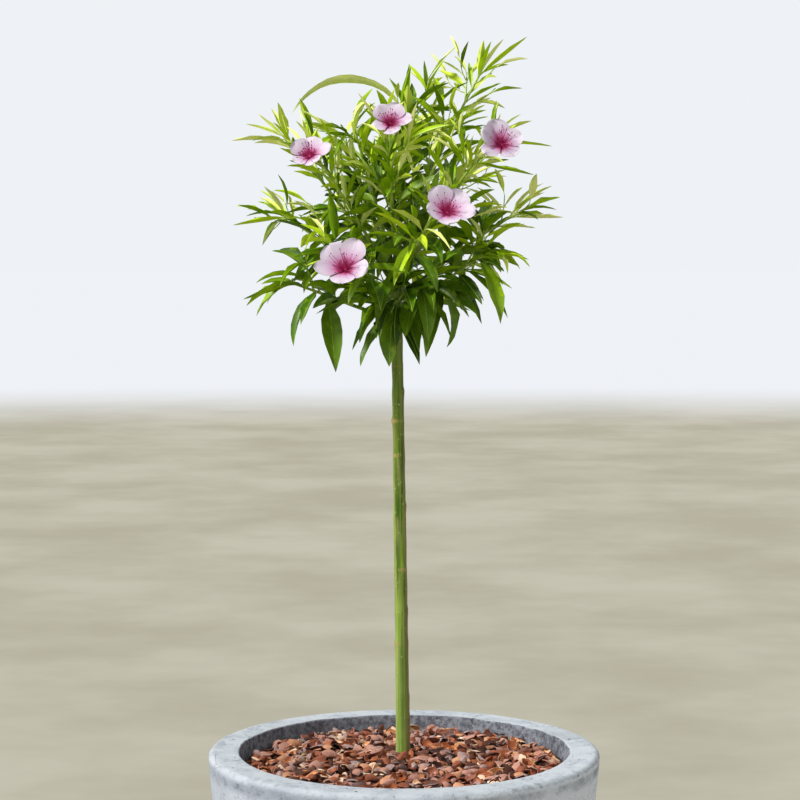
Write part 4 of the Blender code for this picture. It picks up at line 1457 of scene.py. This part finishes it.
petalLook = dict(
    rows=(0.0, 0.08, 0.2, 0.34, 0.48, 0.62, 0.75, 0.86, 0.94, 0.985, 1.0),
    columns=9,
    widen=1.04,
    cup=0.10,
    rise=0.42,  # angle from the blossom's face at the root, in radians
    curl=-0.16,  # how much more it rises towards its tip
    thick=0.00035,
    ruffle=0.0007,
    stamens=30,
    stamenLength=(0.42, 0.74),
    # rings of (place on the axis, radius)
    anther=((-0.0004, 0.0002), (0.0, 0.0005), (0.0005, 0.00048), (0.0009, 0.0002)),
    cupRings=((-0.0012, 0.0026), (0.0002, 0.0024), (0.0008, 0.0014), (0.0010, 0.0004)),
    calyx=((-0.0075, 0.0010), (-0.0055, 0.0026), (-0.0025, 0.0031), (-0.0002, 0.0030)),
)


def petalWidth(a):
    base = 0.16 + 0.84 * min(1, a / 0.56) ** 1.15
    if a < 0.56:
        return base
    return sqrt(max(0.0, 1 - ((a - 0.56) / 0.443) ** 2.2))


def petalSkin(centre, face, out, radius, wide, rng):
    look = petalLook
    across = face.cross(out).normalized()
    rise, curl = look["rise"] + rng.uniform(-0.12, 0.16), look["curl"] * rng.uniform(0.6, 1.25)
    long, wide = radius * rng.uniform(0.97, 1.05), wide * look["widen"] * rng.uniform(0.96, 1.06)
    cup, phase = look["cup"] * rng.uniform(0.7, 1.2), rng.uniform(0, tau)
    lean = rng.uniform(-0.12, 0.12)
    top, under, spots = [], [], []
    place, last = Vector((0.0, 0.0, 0.0)), 0.0
    for a in look["rows"]:
        angle = rise + curl * (a - 0.5 * a * a)
        ahead = leaning(out, face, angle)
        lift = leaning(face, -out, angle)
        place = place + ahead * (a - last) * long
        last = a
        half = wide * 0.5 * petalWidth(a)
        for j in range(look["columns"]):
            c = 2 * j / (look["columns"] - 1) - 1
            side = c * half
            bowl = cup * side * side / (wide * 0.5)
            wave = look["ruffle"] * a * a * sin(3.2 * c + 4.0 * a + phase) * radius / 0.02
            notch = -0.05 * long * bell(c - 0.1, 0.3) * max(0, a - 0.85) / 0.15
            point = centre + out * 0.0008 + place + ahead * notch
            point = point + across * (side + lean * a * half) + lift * (bowl + wave + 0.0004 * c)
            top.append(point + lift * look["thick"] * 0.5)
            under.append(point - lift * look["thick"] * 0.5)
            spots.append((a, 0.5 + 0.5 * c))
    rows, columns = len(look["rows"]), look["columns"]
    count = rows * columns
    faces = []
    for i in range(rows - 1):
        for j in range(columns - 1):
            p = i * columns + j
            quad = (p, p + columns, p + columns + 1, p + 1)
            faces += [quad[::-1], tuple(count + k for k in quad)]
    ring = [*range(columns), *range(2 * columns - 1, count, columns)]
    ring += [*range(count - 2, count - columns - 1, -1), *range(count - 2 * columns, 0, -columns)]
    for a, b in zip(ring, ring[1:] + ring[:1]):
        faces.append((count + a, count + b, b, a))
    return top + under, faces, None, spots + spots


def petalMaterial():
    finish = Finish(
        "petals", Subsurface_Weight=0.12, Subsurface_Radius=(0.004, 0.002, 0.002),
        Specular_IOR_Level=0.25,
    )
    along = finish.node("ShaderNodeUVMap", {"uv_map": "along"})
    a, c, _ = finish.axes(along)
    aside = finish.maths("ABSOLUTE", c - 0.5) * 2
    cloud = finish.noise(finish.objectPlace(), 110, 3, 0.5)
    fan = finish.node("ShaderNodeCombineXYZ", None, {0: a * 1.6, 1: (c - 0.5) * 26, 2: cloud * 0.6})
    veins = finish.noise(fan, 1.0, 3, 0.6, 0.2)
    color = finish.coats(
        finish.mix(finish.step(a + cloud * 0.3, 0.45, 0.95), tone(206, 166, 200), tone(214, 204, 218)),
        (finish.step(veins, 0.46, 0.70) * (1 - a) * 0.8, 196, 122, 168),
        ((1 - finish.step(a + (veins - 0.5) * 0.8 + aside * 0.12, 0.18, 0.58)) * 0.85, 200, 52, 128),
        (1 - finish.step(a + (veins - 0.5) * 0.6, 0.14, 0.38), 146, 0, 72),
    )
    return finish.wear(
        Base_Color=color,
        Roughness=0.55 + veins * 0.15,
        Normal=finish.bump(veins, 0.00025),
    )


def makeBlossoms(places, masses):
    petals, reds, tips, greens = Heap(), Heap(), Heap(), Heap()
    for number, (centre, face, radius, turned, side, root, base) in enumerate(places):
        rng = random.Random(f"blossom{number}")
        u, v = frameRound(face)
        for out, long, wide in petalsOf(face, turned, side):
            petals.add(*petalSkin(centre, face, out, radius * long, radius * wide, rng))
        for i in range(petalLook["stamens"]):
            turn = tau * (i * 0.382) + rng.uniform(-0.2, 0.2)
            out = leaning(u, v, turn)
            lean = rng.uniform(0.35, 1.15)
            heading = leaning(face, out, lean)
            length = radius * between(petalLook["stamenLength"], rng.random())
            filament = Blade(centre + out * 0.0010, heading, face, length, 0, rng.uniform(0.1, 0.8))
            reds.add(*rod(filament.both, 0, 1, (0.00023, 0.00013), 4, 4))
            end, axis = filament.both(1.0)
            tips.add(*bead(end, axis, 5, *petalLook["anther"]))
        reds.add(*bead(centre, face, 12, *petalLook["cupRings"]))
        spur = (base - root).normalized()
        curve = lambda t: (root.lerp(base, t), spur)
        greens.add(*rod(curve, 0, 1, (0.0012, 0.0010), 3, 7))
        greens.add(*bead(centre, face, 10, *petalLook["calyx"]))
        for i in range(5):
            turn = tau * (i + 0.5) / 5 + 0.3
            out = leaning(u, v, turn)
            sepal = Blade(centre - face * 0.0012 + out * 0.002, out + face * 0.15, face,
                          radius * 0.34, radius * 0.24, 0.3)
            greens.add(*sepal.solid(((0.0, 0.5), (0.35, 1.0), (0.75, 0.6))))
    sepal = streaked("sepals", tone(120, 90, 60), tone(132, 140, 66), 0.5)
    filament = streaked("filaments", tone(146, 10, 72), tone(190, 40, 114), 0.6)
    anther = streaked("anthers", tone(70, 20, 38), tone(120, 50, 60), 0.7)
    dress(petals.piece("petals", 50), [petalMaterial()], masses)
    dress(reds.piece("stamens"), [filament], masses)
    dress(tips.piece("anthers"), [anther], masses)
    dress(greens.piece("sepals"), [sepal], masses)
    print("blossoms", len(petals.faces), "faces")


def takeTurns(growing):  # every shoot grows one leaf, then every shoot the next
    for _ in itertools.zip_longest(*growing):
        pass


def growCrown():
    crown = Crown()
    crown.addNode("trunk")
    sprays, spines = {}, {}
    for name, row in shoots.items():
        spine, start = Spine(row), 0.0
        if name not in bareShoots:
            start = (boughSizes["length"] + stem["radius"][1]) / spine.length
            spines[name] = (spine, start)
            crown.addNode("bough_" + name)
        sprays[name] = Spray("foliage_" + name, spine, start, crown)
    places = []
    for name, centre, bearing, tilt, radius, turned, side in blossoms:
        centre = Vector(centre)
        root, base = sprays[name].blossom(centre, bearing, tilt, radius, turned, side)
        places.append((centre, facingWay(bearing, tilt), radius, turned, side, root, base))
    for name, *sizes in markedLeaves:
        sprays[name].markedLeaf(*sizes)
    takeTurns(s.grow(i) for i, s in enumerate(sprays.values()))
    print("crown", sum(len(s.leaves) for s in sprays.values()), "leaves as in the solids")
    takeTurns(s.growFiner(i) for i, s in enumerate(sprays.values()))
    return sprays, spines, places


studio = dict(
    camera=(-0.004, -2.345, 0.9085),
    pitch=90 - 4.36,
    lens=107.1,
    sun=(-0.86, -0.34, 0.92),  # from where the light comes
    sunStrength=3.9,
    sunAngle=14,
    sky=0.46,
)


def makeStage():
    deselect()
    bpy.ops.mesh.primitive_circle_add(vertices=96, radius=40, fill_type="NGON", location=(0, 0, 0))
    floor = bpy.context.object
    floor.name = "floor"
    finish = Finish("paleFloor", Roughness=0.8, Specular_IOR_Level=0.0)
    x, y, z = finish.axes(finish.objectPlace())
    far = finish.step((x * x + y * y) ** 0.5, 7.9, 10.8)
    cloud = finish.noise(finish.objectPlace(), 1.6, 4, 0.6)
    near = finish.mix(finish.step(cloud, 0.3, 0.7), tone(161, 157, 142), tone(176, 173, 159))
    finish.wear(Base_Color=finish.mix(far, near, tone(211, 214, 220)))
    floor.data.materials.append(finish.material)

    world = bpy.data.worlds.new("studio")
    bpy.context.scene.world = world
    world.use_nodes = True
    tree = world.node_tree
    light = tree.nodes["Background"]
    light.inputs["Color"].default_value = (0.97, 0.99, 1.0, 1)
    light.inputs["Strength"].default_value = studio["sky"]
    seen = tree.nodes.new("ShaderNodeBackground")
    seen.inputs["Color"].default_value = tone(238, 242, 246)
    chooser = tree.nodes.new("ShaderNodeMixShader")
    path = tree.nodes.new("ShaderNodeLightPath")
    tree.links.new(path.outputs["Is Camera Ray"], chooser.inputs[0])
    tree.links.new(light.outputs[0], chooser.inputs[1])
    tree.links.new(seen.outputs[0], chooser.inputs[2])
    tree.links.new(chooser.outputs[0], tree.nodes["World Output"].inputs[0])

    sun = bpy.data.lights.new("sun", "SUN")
    sun.energy = studio["sunStrength"]
    sun.angle = radians(studio["sunAngle"])
    sun.color = (1.0, 0.985, 0.955)
    lamp = linked("sun", sun)
    lamp.rotation_euler = Vector(studio["sun"]).to_track_quat("Z", "Y").to_euler()

    camera = bpy.data.cameras.new("camera")
    camera.lens = studio["lens"]
    camera.sensor_width = 36
    eye = linked("camera", camera)
    eye.location = studio["camera"]
    eye.rotation_euler = (radians(studio["pitch"]), 0, 0)
    bpy.context.scene.camera = eye
    bpy.context.scene.view_settings.view_transform = "Standard"


makeStage()
makePlanter()
makeMulch()
makeStem()
sprays, spines, places = growCrown()
masses = ["foliage_" + name for name in shoots]
makeBoughs(spines)
makeShoots(sprays.values(), masses)
makeLeaves(sprays.values(), masses)
makeBlossoms(places, masses)
